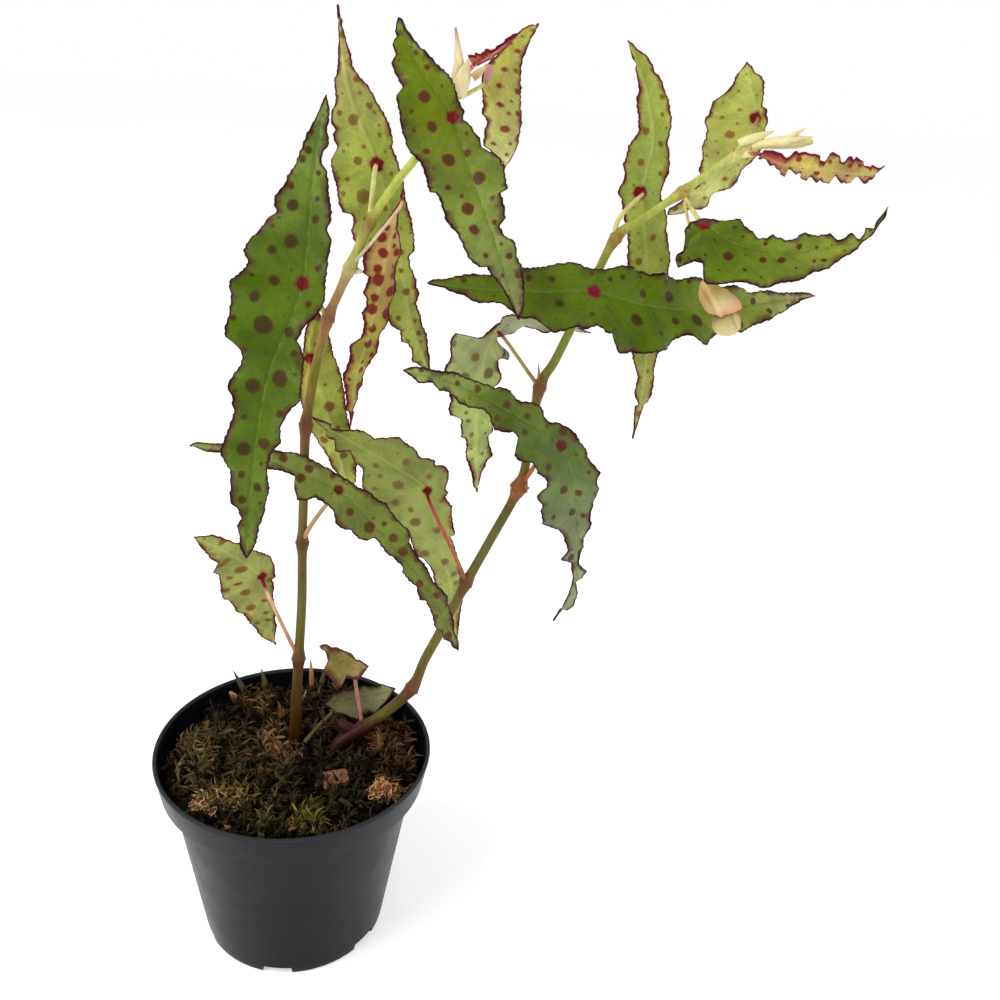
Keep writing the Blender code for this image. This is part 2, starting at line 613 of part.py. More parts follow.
def make_blade(name, leaf, seed, colour):
    """A thin closed blade with waved margins."""
    rib, widths, _, up, left, _ = leaf_frame(leaf)
    stations = len(rib)
    share = np.linspace(0, 1, stations)
    ragged = np.random.default_rng(seed).uniform(1 - RAGGED_DEPTH, 1 + RAGGED_DEPTH, (stations, 2))
    fold = math.radians(leaf["fold"])
    points = []
    for at in range(stations):
        for across in (-1, -0.55, 0, 0.55, 1):
            side = 0 if across > 0 else 1
            turn = 2 * math.pi * (leaf["waves"] * share[at] + 0.37 * side + 0.21 * seed)
            half = widths[at, side] * (1 + LOBE_DEPTH * math.cos(turn)) * ragged[at, side]
            reach = abs(across) * half
            ripple = leaf["ripple"] * MM * min(1, half / (7 * MM)) * across**2 * math.sin(turn)
            outward = left[at] * math.copysign(reach * math.cos(fold), across)
            points.append(rib[at] + outward + up[at] * (reach * math.sin(fold) + ripple))
    faces = []
    for at in range(stations - 1):
        for column in range(4):
            a = at * 5 + column
            if column < 2:
                faces += [(a, a + 6, a + 1), (a, a + 5, a + 6)]
            else:
                faces += [(a, a + 5, a + 1), (a + 1, a + 5, a + 6)]
    blade = mesh_object(name, points, faces, colour)
    solid = blade.modifiers.new("thickness", "SOLIDIFY")
    solid.thickness = BLADE_THICKNESS
    solid.offset = 0
    return blade


def make_stalk(name, leaf):
    """A leaf's stalk, from the middle of its cane to just under its blade."""
    seat, way = stalk_seat(leaf)
    start = np.array(leaf["grows"]) * MM
    span = np.linalg.norm(seat - start)
    first = start + unit(np.array(leaf["leaves"], float)) * span * 0.38
    second = seat - way * span * 0.3
    rows = []
    for share in np.linspace(0, 1, STALK_RINGS):
        rest = 1 - share
        place = start * rest**3 + first * 3 * rest**2 * share + second * 3 * rest * share**2 + seat * share**3
        rows.append((*place, STALK_RADIUS * (1.15 - 0.25 * share)))
    rows[-1] = (*seat, STALK_RADIUS * 0.7)
    rows.insert(-1, (*(seat - way * 1.2 * MM), STALK_RADIUS))
    return tube(name, rows, STALK_SIDES, "cane")


def make_stipule(name, place, way):
    """The papery pointed scale beside a joint."""
    place = np.array(place, float) * MM
    way = unit(np.array(way, float))
    rows = [
        (*place, STIPULE_RADIUS),
        (*(place + way * STIPULE_LENGTH * 0.5), STIPULE_RADIUS * 0.8),
        (*(place + way * STIPULE_LENGTH), STIPULE_RADIUS * 0.3),
    ]
    return tube(name, rows, 4, "cane")


def make_cane(name, rows, joints, leaf_names, extra_tubes):
    """A cane with its swollen joints, leaf stalks and stipules, as one solid."""
    rows = np.array(rows, float) * MM
    length = np.linalg.norm(np.diff(rows[:, :3], axis=0), axis=1).sum()
    curve, _ = smooth_curve(rows, int(length / CANE_RING_STEP))
    for place, _ in joints:
        away = np.linalg.norm(curve[:, :3] - np.array(place) * MM, axis=1)
        curve[:, 3] += NODE_SWELLING * np.exp(-((away / NODE_LENGTH) ** 2))
    cane = tube(name, curve, CANE_SIDES, "cane")
    extras = [make_stalk(f"{leaf}_stalk", LEAVES[leaf]) for leaf in leaf_names]
    extras += [make_stipule(f"{name}_stipule_{n}", *joint) for n, joint in enumerate(joints)]
    for number, extra in enumerate(extra_tubes):
        extras.append(tube(f"{name}_extra_{number}", np.array(extra) * MM, CANE_SIDES, "cane"))
    return joined(cane, extras)


def low_stalk_route():
    radius = STALK_RADIUS / MM
    return tuple((*place, radius) for place in LOW_STALK_ROOT)


def make_low_stalk():
    """The stalk of the lowest leaf, which stands in the soil by itself."""
    leaf = LEAVES["leaf_soil_low"]
    upper = make_stalk("stalk_low_upper", leaf)
    root = tube("stalk_low", np.array(low_stalk_route()) * MM, STALK_SIDES, "cane")
    return joined(root, [upper])


def make_flower():
    """Two cupped tepals on a thin hanging stalk."""
    stalk, _ = smooth_curve(np.array(FLOWER_STALK) * MM, 14)
    rows = np.column_stack([stalk, np.full(len(stalk), FLOWER_STALK_RADIUS)])
    flower = tube("flower", rows, STALK_SIDES, "tepal")
    bpy.ops.mesh.primitive_ico_sphere_add(
        subdivisions=1, radius=2.4 * MM, location=[value * MM for value in FLOWER_STALK[-1]]
    )
    extras = [bpy.context.object]
    for seed, (name, tepal) in enumerate(TEPALS.items()):
        blade = make_blade(f"tepal_{name}", tepal, 40 + seed, "tepal")
        extras.append(blade)
    return joined(flower, extras)


def make_bud(name, rows):
    curve, _ = smooth_curve(np.array(rows) * MM, 12)
    return tube(name, curve, CANE_SIDES, "tepal")


def make_moss_clump(soil, name, middle, half_sizes, height, seed):
    """A low ragged dome whose underside follows the soil."""
    random = np.random.default_rng(seed)
    rings, segments = 4, 14
    reach = random.uniform(0.85, 1.1, segments)
    top = []
    for ring in range(1, rings + 1):
        for number in range(segments):
            turn = 2 * math.pi * number / segments
            share = ring / rings
            x = (middle[0] + half_sizes[0] * share * reach[number] * math.cos(turn)) * MM
            y = (middle[1] + half_sizes[1] * share * reach[number] * math.sin(turn)) * MM
            rise = height * MM * math.cos(share * math.pi / 2.2) * random.uniform(0.75, 1.1)
            top.append((x, y, rise))
    x, y = middle[0] * MM, middle[1] * MM
    count = rings * segments
    floor = [clear_height(soil, px, py) for px, py, _ in top]
    points = [(x, y, clear_height(soil, x, y) + height * MM)]
    points += [(px, py, low + max(rise, 0.9 * MM)) for (px, py, rise), low in zip(top, floor)]
    points.append((x, y, clear_height(soil, x, y)))
    points += [(px, py, low) for (px, py, _), low in zip(top, floor)]
    under = count + 1
    faces = []
    for edge in range(segments):
        beside = (edge + 1) % segments
        faces.append((0, 1 + edge, 1 + beside))
        faces.append((under, under + 1 + beside, under + 1 + edge))
        for ring in range(rings - 1):
            a = 1 + ring * segments + edge
            b = 1 + ring * segments + beside
            faces.append((a, a + segments, b + segments, b))
            faces.append((under + a, under + b, under + b + segments, under + a + segments))
        a = 1 + (rings - 1) * segments + edge
        b = 1 + (rings - 1) * segments + beside
        faces.append((a, under + a, under + b, b))
    return mesh_object(name, points, faces, "moss")


def clear_height(soil, x, y):
    """The height just clear of the soil around a place."""
    reach = 1.2 * MM
    heights = [
        soil.ray_cast((x + reach * i, y + reach * j, POT_HEIGHT), (0, 0, -1))[1].z
        for i in (-1, 0, 1)
        for j in (-1, 0, 1)
    ]
    return max(heights) + GAP


def under_height(chip, x, y):
    """The height of a chip's underside at a place, or None beside the chip."""
    below = chip.matrix_world.inverted() @ Vector((x, y, -POT_HEIGHT))
    way = chip.matrix_world.inverted().to_3x3() @ Vector((0, 0, 1))
    found, place, _, _ = chip.ray_cast(below, way)
    return (chip.matrix_world @ place).z if found else None


def make_bark_chip(soil, name, middle, sizes, turn_deg, lean_deg, seed):
    """A rough flat chip lying on the soil."""
    random = np.random.default_rng(seed)
    shape = bmesh.new()
    bmesh.ops.create_cube(shape, size=1 * MM)
    bmesh.ops.scale(shape, vec=sizes, verts=shape.verts)
    bmesh.ops.bevel(
        shape, geom=list(shape.edges), offset=0.7 * MM, segments=1, affect="EDGES", profile=0.5
    )
    for vert in shape.verts:
        vert.co += Vector(random.uniform(-0.45, 0.45, 3)) * MM
    bmesh.ops.triangulate(shape, faces=shape.faces)
    mesh = bpy.data.meshes.new(name)
    shape.to_mesh(mesh)
    shape.free()
    chip = bpy.data.objects.new(name, mesh)
    bpy.context.scene.collection.objects.link(chip)
    mesh.materials.append(material("bark"))
    chip.rotation_euler = (0, math.radians(lean_deg), math.radians(turn_deg))
    chip.location = (middle[0] * MM, middle[1] * MM, 0)
    bpy.context.view_layer.update()
    reach = max(sizes) * MM
    rises = []
    for x in chip.location.x + np.linspace(-reach, reach, 25):
        for y in chip.location.y + np.linspace(-reach, reach, 25):
            under = under_height(chip, x, y)
            if under is not None:
                rises.append(clear_height(soil, x, y) - under)
    chip.location.z = max(rises)
    return chip


def main():
    clear_scene()
    make_pot()
    soil = make_substrate()
    left_leaves = [name for name in LEAVES if name.startswith("leaf_left")]
    right_leaves = [name for name in LEAVES if name.startswith("leaf_right")] + ["leaf_soil_small"]
    make_cane("cane_left", CANE_LEFT, JOINTS_LEFT, left_leaves, [])
    make_cane("cane_right", CANE_RIGHT, JOINTS_RIGHT, right_leaves, [OLD_STUB])
    make_low_stalk()
    for seed, (name, leaf) in enumerate(LEAVES.items()):
        colour = "young_leaf" if name in YOUNG_LEAVES else "leaf"
        make_blade(name, leaf, seed, colour)
    make_flower()
    make_bud("bract_left", BRACT_LEFT)
    make_bud("bud_right", BUD_RIGHT)
    for seed, (name, clump) in enumerate(MOSS_CLUMPS.items()):
        make_moss_clump(soil, name, *clump, 60 + seed)
    for seed, (name, chip) in enumerate(BARK_CHIPS.items()):
        make_bark_chip(soil, name, *chip, 80 + seed)


main()
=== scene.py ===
import math

import bpy
import numpy as np
from mathutils import Matrix, Vector, noise


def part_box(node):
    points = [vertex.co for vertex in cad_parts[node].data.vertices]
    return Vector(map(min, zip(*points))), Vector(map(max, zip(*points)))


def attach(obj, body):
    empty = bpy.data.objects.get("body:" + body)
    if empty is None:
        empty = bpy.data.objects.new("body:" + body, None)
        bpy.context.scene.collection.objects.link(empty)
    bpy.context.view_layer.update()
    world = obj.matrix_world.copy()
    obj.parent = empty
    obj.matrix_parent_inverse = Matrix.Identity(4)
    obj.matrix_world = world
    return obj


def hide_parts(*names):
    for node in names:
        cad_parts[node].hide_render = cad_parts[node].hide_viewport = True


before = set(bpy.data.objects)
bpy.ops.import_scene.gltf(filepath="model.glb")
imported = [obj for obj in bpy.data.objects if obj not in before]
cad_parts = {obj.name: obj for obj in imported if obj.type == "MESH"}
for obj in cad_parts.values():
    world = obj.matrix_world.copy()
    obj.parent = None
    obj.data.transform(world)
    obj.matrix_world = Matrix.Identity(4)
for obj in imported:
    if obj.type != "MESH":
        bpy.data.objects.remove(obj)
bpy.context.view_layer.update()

mm = 0.001
body = "root"


def seen(colour):  # a colour as it shows on screen, made linear
    return tuple(v / 255 / 12.92 if v <= 10 else ((v / 255 + 0.055) / 1.055) ** 2.4 for v in colour)


def deselectAll():
    if bpy.context.object and bpy.context.object.mode != "OBJECT":
        bpy.ops.object.mode_set(mode="OBJECT")
    bpy.ops.object.select_all(action="DESELECT")


def pick(*pieces):
    deselectAll()
    for piece in pieces:
        piece.select_set(True)
    bpy.context.view_layer.objects.active = pieces[0]


def added(add, **settings):  # a new primitive
    deselectAll()
    add(**settings)
    return bpy.context.object


def discard(pieces):
    for piece in pieces:
        bpy.data.objects.remove(piece, do_unlink=True)


def placesOf(piece):
    found = np.empty(len(piece.data.vertices) * 3)
    piece.data.vertices.foreach_get("co", found)
    return found.reshape(-1, 3)


def movePlaces(piece, places):
    piece.data.vertices.foreach_set("co", np.asarray(places, float).ravel())
    piece.data.update()


def storeVectors(piece, name, values):
    layer = piece.data.attributes.new(name, "FLOAT_VECTOR", "POINT")
    layer.data.foreach_set("vector", np.asarray(values, float).ravel())


def storeColours(piece, name, values):  # values are linear, one row of three for each vertex
    layer = piece.data.attributes.new(name, "FLOAT_COLOR", "POINT")
    layer.data.foreach_set("color", np.column_stack([values, np.ones(len(values))]).ravel())


def paintWhole(piece, name, colour):
    storeColours(piece, name, np.tile(seen(colour), (len(piece.data.vertices), 1)))


def applyModifier(piece, kind, **settings):
    pick(piece)
    made = piece.modifiers.new(kind.lower(), kind)
    for key, value in settings.items():
        setattr(made, key, value)
    bpy.ops.object.modifier_apply(modifier=made.name)


def editAll(piece):
    pick(piece)
    bpy.ops.object.mode_set(mode="EDIT")
    bpy.ops.mesh.select_all(action="SELECT")


def extrudeRing(rise, grow, middle):  # the picked ring goes up and is scaled about a height
    bpy.ops.mesh.extrude_region_move(TRANSFORM_OT_translate={"value": (0, 0, rise)})
    bpy.ops.transform.resize(value=(grow, grow, 1), center_override=(0, 0, middle))


def closeEdit():  # with all faces turned outward
    bpy.ops.mesh.select_all(action="SELECT")
    bpy.ops.mesh.normals_make_consistent(inside=False)
    bpy.ops.object.mode_set(mode="OBJECT")


def smoothShade(piece, degrees):
    pick(piece)
    bpy.ops.object.shade_smooth_by_angle(angle=math.radians(degrees))


def settle(piece, slotName, *nodes):
    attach(piece, body)
    if nodes:
        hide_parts(*nodes)


def joinPieces(pieces, name):
    pick(*pieces)
    if len(pieces) > 1:
        bpy.ops.object.join()
    joinedPiece = bpy.context.object
    joinedPiece.name = joinedPiece.data.name = name
    return joinedPiece


def finishPiece(pieces, name, degrees, slotName, *nodes):
    whole = joinPieces(pieces, name)
    smoothShade(whole, degrees)
    settle(whole, slotName, *nodes)


def unit(vector):
    vector = np.asarray(vector, float)
    return vector / np.linalg.norm(vector)


def routeLength(rows):
    return np.linalg.norm(np.diff(rows[:, :3], axis=0), axis=1).sum()


def runLength(places):  # the way covered up to each place
    return np.concatenate([[0], np.cumsum(np.linalg.norm(np.diff(places, axis=0), axis=1))])


def roundGrid(piece):  # a square grid drawn in, so that it fills a circle
    x, y, _ = placesOf(piece).T
    return x * np.sqrt(1 - y**2 / 2), y * np.sqrt(1 - x**2 / 2)


# camera at the photo's view
cameraSetup = {
    "place": (0, -0.3673, 0.3788), "pitchDeg": 23.93, "yawDeg": 12.84, "rollDeg": 4.76,
    "lens": 36, "sensor": 36, "clipStart": 0.01, "pixelsPerUnit": 1000, "photoMiddle": 500,
}
pitch, yaw, roll = (math.radians(cameraSetup[key]) for key in ("pitchDeg", "yawDeg", "rollDeg"))
eye = np.array(cameraSetup["place"])
lookWay = np.array((math.sin(yaw) * math.cos(pitch), math.cos(yaw) * math.cos(pitch), -math.sin(pitch)))
levelRight = np.array((math.cos(yaw), -math.sin(yaw), 0))
levelUp = np.cross(levelRight, lookWay)
rightWay = math.cos(roll) * levelRight + math.sin(roll) * levelUp
upWay = math.cos(roll) * levelUp - math.sin(roll) * levelRight


def inPhoto(places):  # where places fall in the photo, and how deep they lie
    offset = np.asarray(places, float) - eye
    depth = offset @ lookWay
    scale, middle = cameraSetup["pixelsPerUnit"] / depth, cameraSetup["photoMiddle"]
    return np.column_stack([middle + offset @ rightWay * scale, middle - offset @ upWay * scale]), depth


def sightWay(spot):  # from the eye through a photo spot, one unit deep
    across, down = (np.array(spot) - cameraSetup["photoMiddle"]) / cameraSetup["pixelsPerUnit"]
    return lookWay + rightWay * across - upWay * down


def fromPhoto(spot, beside):  # the place behind a photo spot, as deep as the place beside it
    return eye + sightWay(spot) * ((np.asarray(beside, float) - eye) @ lookWay)


def makeCamera():
    made = bpy.data.cameras.new("photoCamera")
    made.sensor_width = cameraSetup["sensor"]
    made.lens = cameraSetup["lens"]
    made.clip_start = cameraSetup["clipStart"]
    camera = bpy.data.objects.new("photoCamera", made)
    bpy.context.scene.collection.objects.link(camera)
    turned = Matrix((rightWay, upWay, -lookWay)).transposed()
    camera.matrix_world = Matrix.Translation(Vector(eye)) @ turned.to_4x4()
    bpy.context.scene.camera = camera


# stage: a white floor and soft white light from all round
stageSetup = {
    "floorSize": 16, "floorColour": (250, 250, 250), "floorGlow": 0.47, "skyTop": 0.5, "skyRim": 1.0,
    "lamps": (
        {"name": "softLeft", "place": (-0.95, -0.45, 1.25), "aim": (0.05, 0, 0.2), "size": 1.1, "watts": 15},
        {"name": "softRight", "place": (1.3, -0.5, 0.75), "aim": (0.05, 0, 0.2), "size": 0.9, "watts": 4},
    ),
}


def makeStage():
    floor = added(bpy.ops.mesh.primitive_plane_add, size=stageSetup["floorSize"], location=(0, 0, 0))
    floor.name = "paleFloor"
    paper, tree, shader = newMaterial("palePaper", 0.75)
    shade = ease(tree, grain(tree, objectPlace(tree), 3, 2), 0.2, 0.8, 0.97, 1.0)
    tree.links.new(multiplied(tree, solid(stageSetup["floorColour"]), shade), shader.inputs["Base Color"])
    shader.inputs["Emission Color"].default_value = (1, 1, 1, 1)
    shader.inputs["Emission Strength"].default_value = stageSetup["floorGlow"]
    floor.data.materials.append(paper)
    for lamp in stageSetup["lamps"]:
        light = bpy.data.lights.new(lamp["name"], "AREA")
        light.shape = "DISK"
        light.size = lamp["size"]
        light.energy = lamp["watts"]
        lightObject = bpy.data.objects.new(lamp["name"], light)
        bpy.context.scene.collection.objects.link(lightObject)
        lightObject.location = lamp["place"]
        aim = Vector(lamp["aim"]) - Vector(lamp["place"])
        lightObject.rotation_euler = aim.to_track_quat("-Z", "Y").to_euler()
    world = bpy.data.worlds.new("whiteRoom")
    world.use_nodes = True
    room = world.node_tree
    way = node(room, "ShaderNodeTexCoord").outputs["Generated"]
    height = node(room, "ShaderNodeSeparateXYZ", {0: way}).outputs["Z"]
    strength = ease(room, height, 0.1, 0.45, stageSetup["skyRim"], stageSetup["skyTop"])
    room.links.new(strength, room.nodes["Background"].inputs["Strength"])
    room.nodes["Background"].inputs["Color"].default_value = (1, 1, 1, 1)
    bpy.context.scene.world = world
    bpy.context.scene.view_settings.view_transform = "Standard"


# shader building
def newMaterial(name, roughness):
    made = bpy.data.materials.new(name)
    made.use_nodes = True
    shader = made.node_tree.nodes["Principled BSDF"]
    shader.inputs["Roughness"].default_value = roughness
    return made, made.node_tree, shader


def node(tree, kind, values=None, **settings):
    made = tree.nodes.new(kind)
    for key, value in settings.items():
        setattr(made, key, value)
    for key, value in (values or {}).items():
        if isinstance(value, bpy.types.NodeSocket):
            tree.links.new(value, made.inputs[key])
        else:
            made.inputs[key].default_value = value
    return made


def objectPlace(tree):
    return node(tree, "ShaderNodeTexCoord").outputs["Object"]


def grain(tree, place, scale, detail=3, roughness=0.55, stretch=None):
    if stretch:
        place = node(tree, "ShaderNodeMapping", {"Vector": place, "Scale": stretch}).outputs["Vector"]
    values = {"Vector": place, "Scale": scale, "Detail": detail, "Roughness": roughness}
    return node(tree, "ShaderNodeTexNoise", values).outputs[0]


def ease(tree, value, low, high, start=0, end=1):
    values = {"Value": value, "From Min": low, "From Max": high, "To Min": start, "To Max": end}
    return node(tree, "ShaderNodeMapRange", values, interpolation_type="SMOOTHSTEP").outputs["Result"]


def blend(tree, factor, first, second, way="MIX"):
    return node(tree, "ShaderNodeMix", {0: factor, 6: first, 7: second}, data_type="RGBA", blend_type=way).outputs[2]


def multiplied(tree, first, second):
    return blend(tree, 1, first, second, "MULTIPLY")


def solid(colour):
    return (*seen(colour), 1)


def sums(tree, way, first, second):
    return node(tree, "ShaderNodeMath", {0: first, 1: second}, operation=way).outputs[0]


def attribute(tree, name, output="Color"):
    return node(tree, "ShaderNodeAttribute", attribute_name=name).outputs[output]


def tones(tree, value, stops):
    ramp = node(tree, "ShaderNodeValToRGB", {"Fac": value})
    for number, (place, colour) in enumerate(stops):
        stop = ramp.color_ramp.elements[number] if number < 2 else ramp.color_ramp.elements.new(place)
        stop.position = place
        stop.color = solid(colour)
    return ramp.outputs["Color"]


def bump(tree, height, distance, strength, under=None):
    values = {"Height": height, "Distance": distance, "Strength": strength}
    if under is not None:
        values["Normal"] = under
    return node(tree, "ShaderNodeBump", values).outputs["Normal"]


def dress(tree, shader, colour, roughness, normal, shine=0.5):
    for socket, value in (("Base Color", colour), ("Roughness", roughness), ("Normal", normal)):
        tree.links.new(value, shader.inputs[socket])
    shader.inputs["Specular IOR Level"].default_value = shine


# leaf skin: attributes carry the distances in mm, so that spots, margins and veins keep crisp edges
def bladeMaterial(name, toneName, spotName, rimName, look):
    made, tree, shader = newMaterial(name, look["gloss"])
    place = objectPlace(tree)
    marks = node(tree, "ShaderNodeSeparateXYZ", {0: attribute(tree, "marks", "Vector")}).outputs  # spot, margin and star
    lines = node(tree, "ShaderNodeSeparateXYZ", {0: attribute(tree, "lines", "Vector")}).outputs  # rib, vein and rim width
    broad, middle, fine = grain(tree, place, 75, 3), grain(tree, place, 420, 3), grain(tree, place, 1500, 2)
    patches = grain(tree, place, 125, 3)
    wobble = sums(tree, "MULTIPLY", sums(tree, "SUBTRACT", middle, 0.5), 1.1)

    # the face colour: the leaf's own green with painted sheen in its pale grey-green stops, varied at random
    tone = multiplied(tree, attribute(tree, toneName), ease(tree, broad, 0.3, 0.7, 0.76, 1.2))
    tone = multiplied(tree, tone, ease(tree, fine, 0.3, 0.7, 0.9, 1.09))
    paler = multiplied(tree, tone, (*look["veinLift"], 1))
    veinShare = sums(tree, "MULTIPLY", ease(tree, lines["Y"], 0.1, 0.75, 1, 0), look["veinShare"])
    colour = blend(tree, veinShare, tone, paler)
    ribShare = sums(tree, "MULTIPLY", ease(tree, lines["X"], 0.15, 0.8, 1, 0), look["ribShare"])
    colour = blend(tree, ribShare, colour, solid(look["rib"]))

    spotDepth = sums(tree, "ADD", marks["X"], wobble)
    spot = ease(tree, spotDepth, -look["spotBlur"], look["spotBlur"] + 0.1)
    spotTone = multiplied(tree, attribute(tree, spotName), ease(tree, spotDepth, 0.1, 1.6, 1.12, 0.8))
    colour = blend(tree, sums(tree, "MULTIPLY", spot, look["spotShare"]), colour, spotTone)

    rimReach = sums(tree, "MULTIPLY", lines["Z"], ease(tree, patches, 0.3, 0.7, 0.6, 1.8))
    edge = sums(tree, "SUBTRACT", sums(tree, "ADD", marks["Y"], sums(tree, "MULTIPLY", wobble, 0.6)), rimReach)
    flushReach = ease(tree, patches, 0.4, 0.66, 0.6, look["flushWide"])
    flush = ease(tree, sums(tree, "DIVIDE", edge, flushReach), 0, 1, look["flushShare"], 0)
    colour = blend(tree, flush, colour, solid(look["flush"]))
    colour = blend(tree, ease(tree, edge, -0.2, 0.35, 1, 0), colour, attribute(tree, rimName))

    colour = blend(tree, ease(tree, marks["Z"], -1.5, 0.2, 0, 0.55), colour, solid(look["flush"]))
    star = ease(tree, sums(tree, "ADD", marks["Z"], wobble), -0.4, 0.5)
    starTone = multiplied(tree, attribute(tree, "starTone"), ease(tree, fine, 0.3, 0.7, 0.6, 1.3))
    colour = blend(tree, star, colour, starTone)

    roughness = ease(tree, middle, 0.3, 0.7, look["gloss"] - 0.06, look["gloss"] + 0.08)
    cells = node(tree, "ShaderNodeTexVoronoi", {"Vector": place, "Scale": 900}, feature="SMOOTH_F1").outputs["Distance"]
    relief = sums(tree, "ADD", sums(tree, "MULTIPLY", cells, 0.7), sums(tree, "MULTIPLY", middle, 0.9))
    dress(tree, shader, colour, roughness, bump(tree, relief, 0.00022, look["bump"]), look["shine"])
    return made


skinLooks = {
    "upper": {
        "gloss": 0.38, "veinLift": (1.2, 1.14, 1.3), "veinShare": 0.55, "ribShare": 0.3, "rib": (128, 152, 66),
        "spotBlur": 0.34, "spotShare": 0.94, "flush": (84, 42, 34), "flushShare": 0.82, "flushWide": 3.4,
        "bump": 0.6, "shine": 0.14,
    },
    "under": {
        "gloss": 0.5, "veinLift": (1.18, 1.14, 1.1), "veinShare": 0.6, "ribShare": 0.22, "rib": (196, 202, 124),
        "spotBlur": 0.34, "spotShare": 0.92, "flush": (122, 56, 44), "flushShare": 0.8, "flushWide": 2.6,
        "bump": 0.6, "shine": 0.12,
    },
}

# leaf tones: the upper face, the underside and their spots
oldUpper, oldUnder = (84, 106, 18), (150, 164, 78)
oldSpot, oldUnderSpot = (70, 44, 14), (118, 82, 40)
oldRim, oldUnderRim, oldStar = (32, 16, 6), (70, 16, 18), (108, 10, 16)
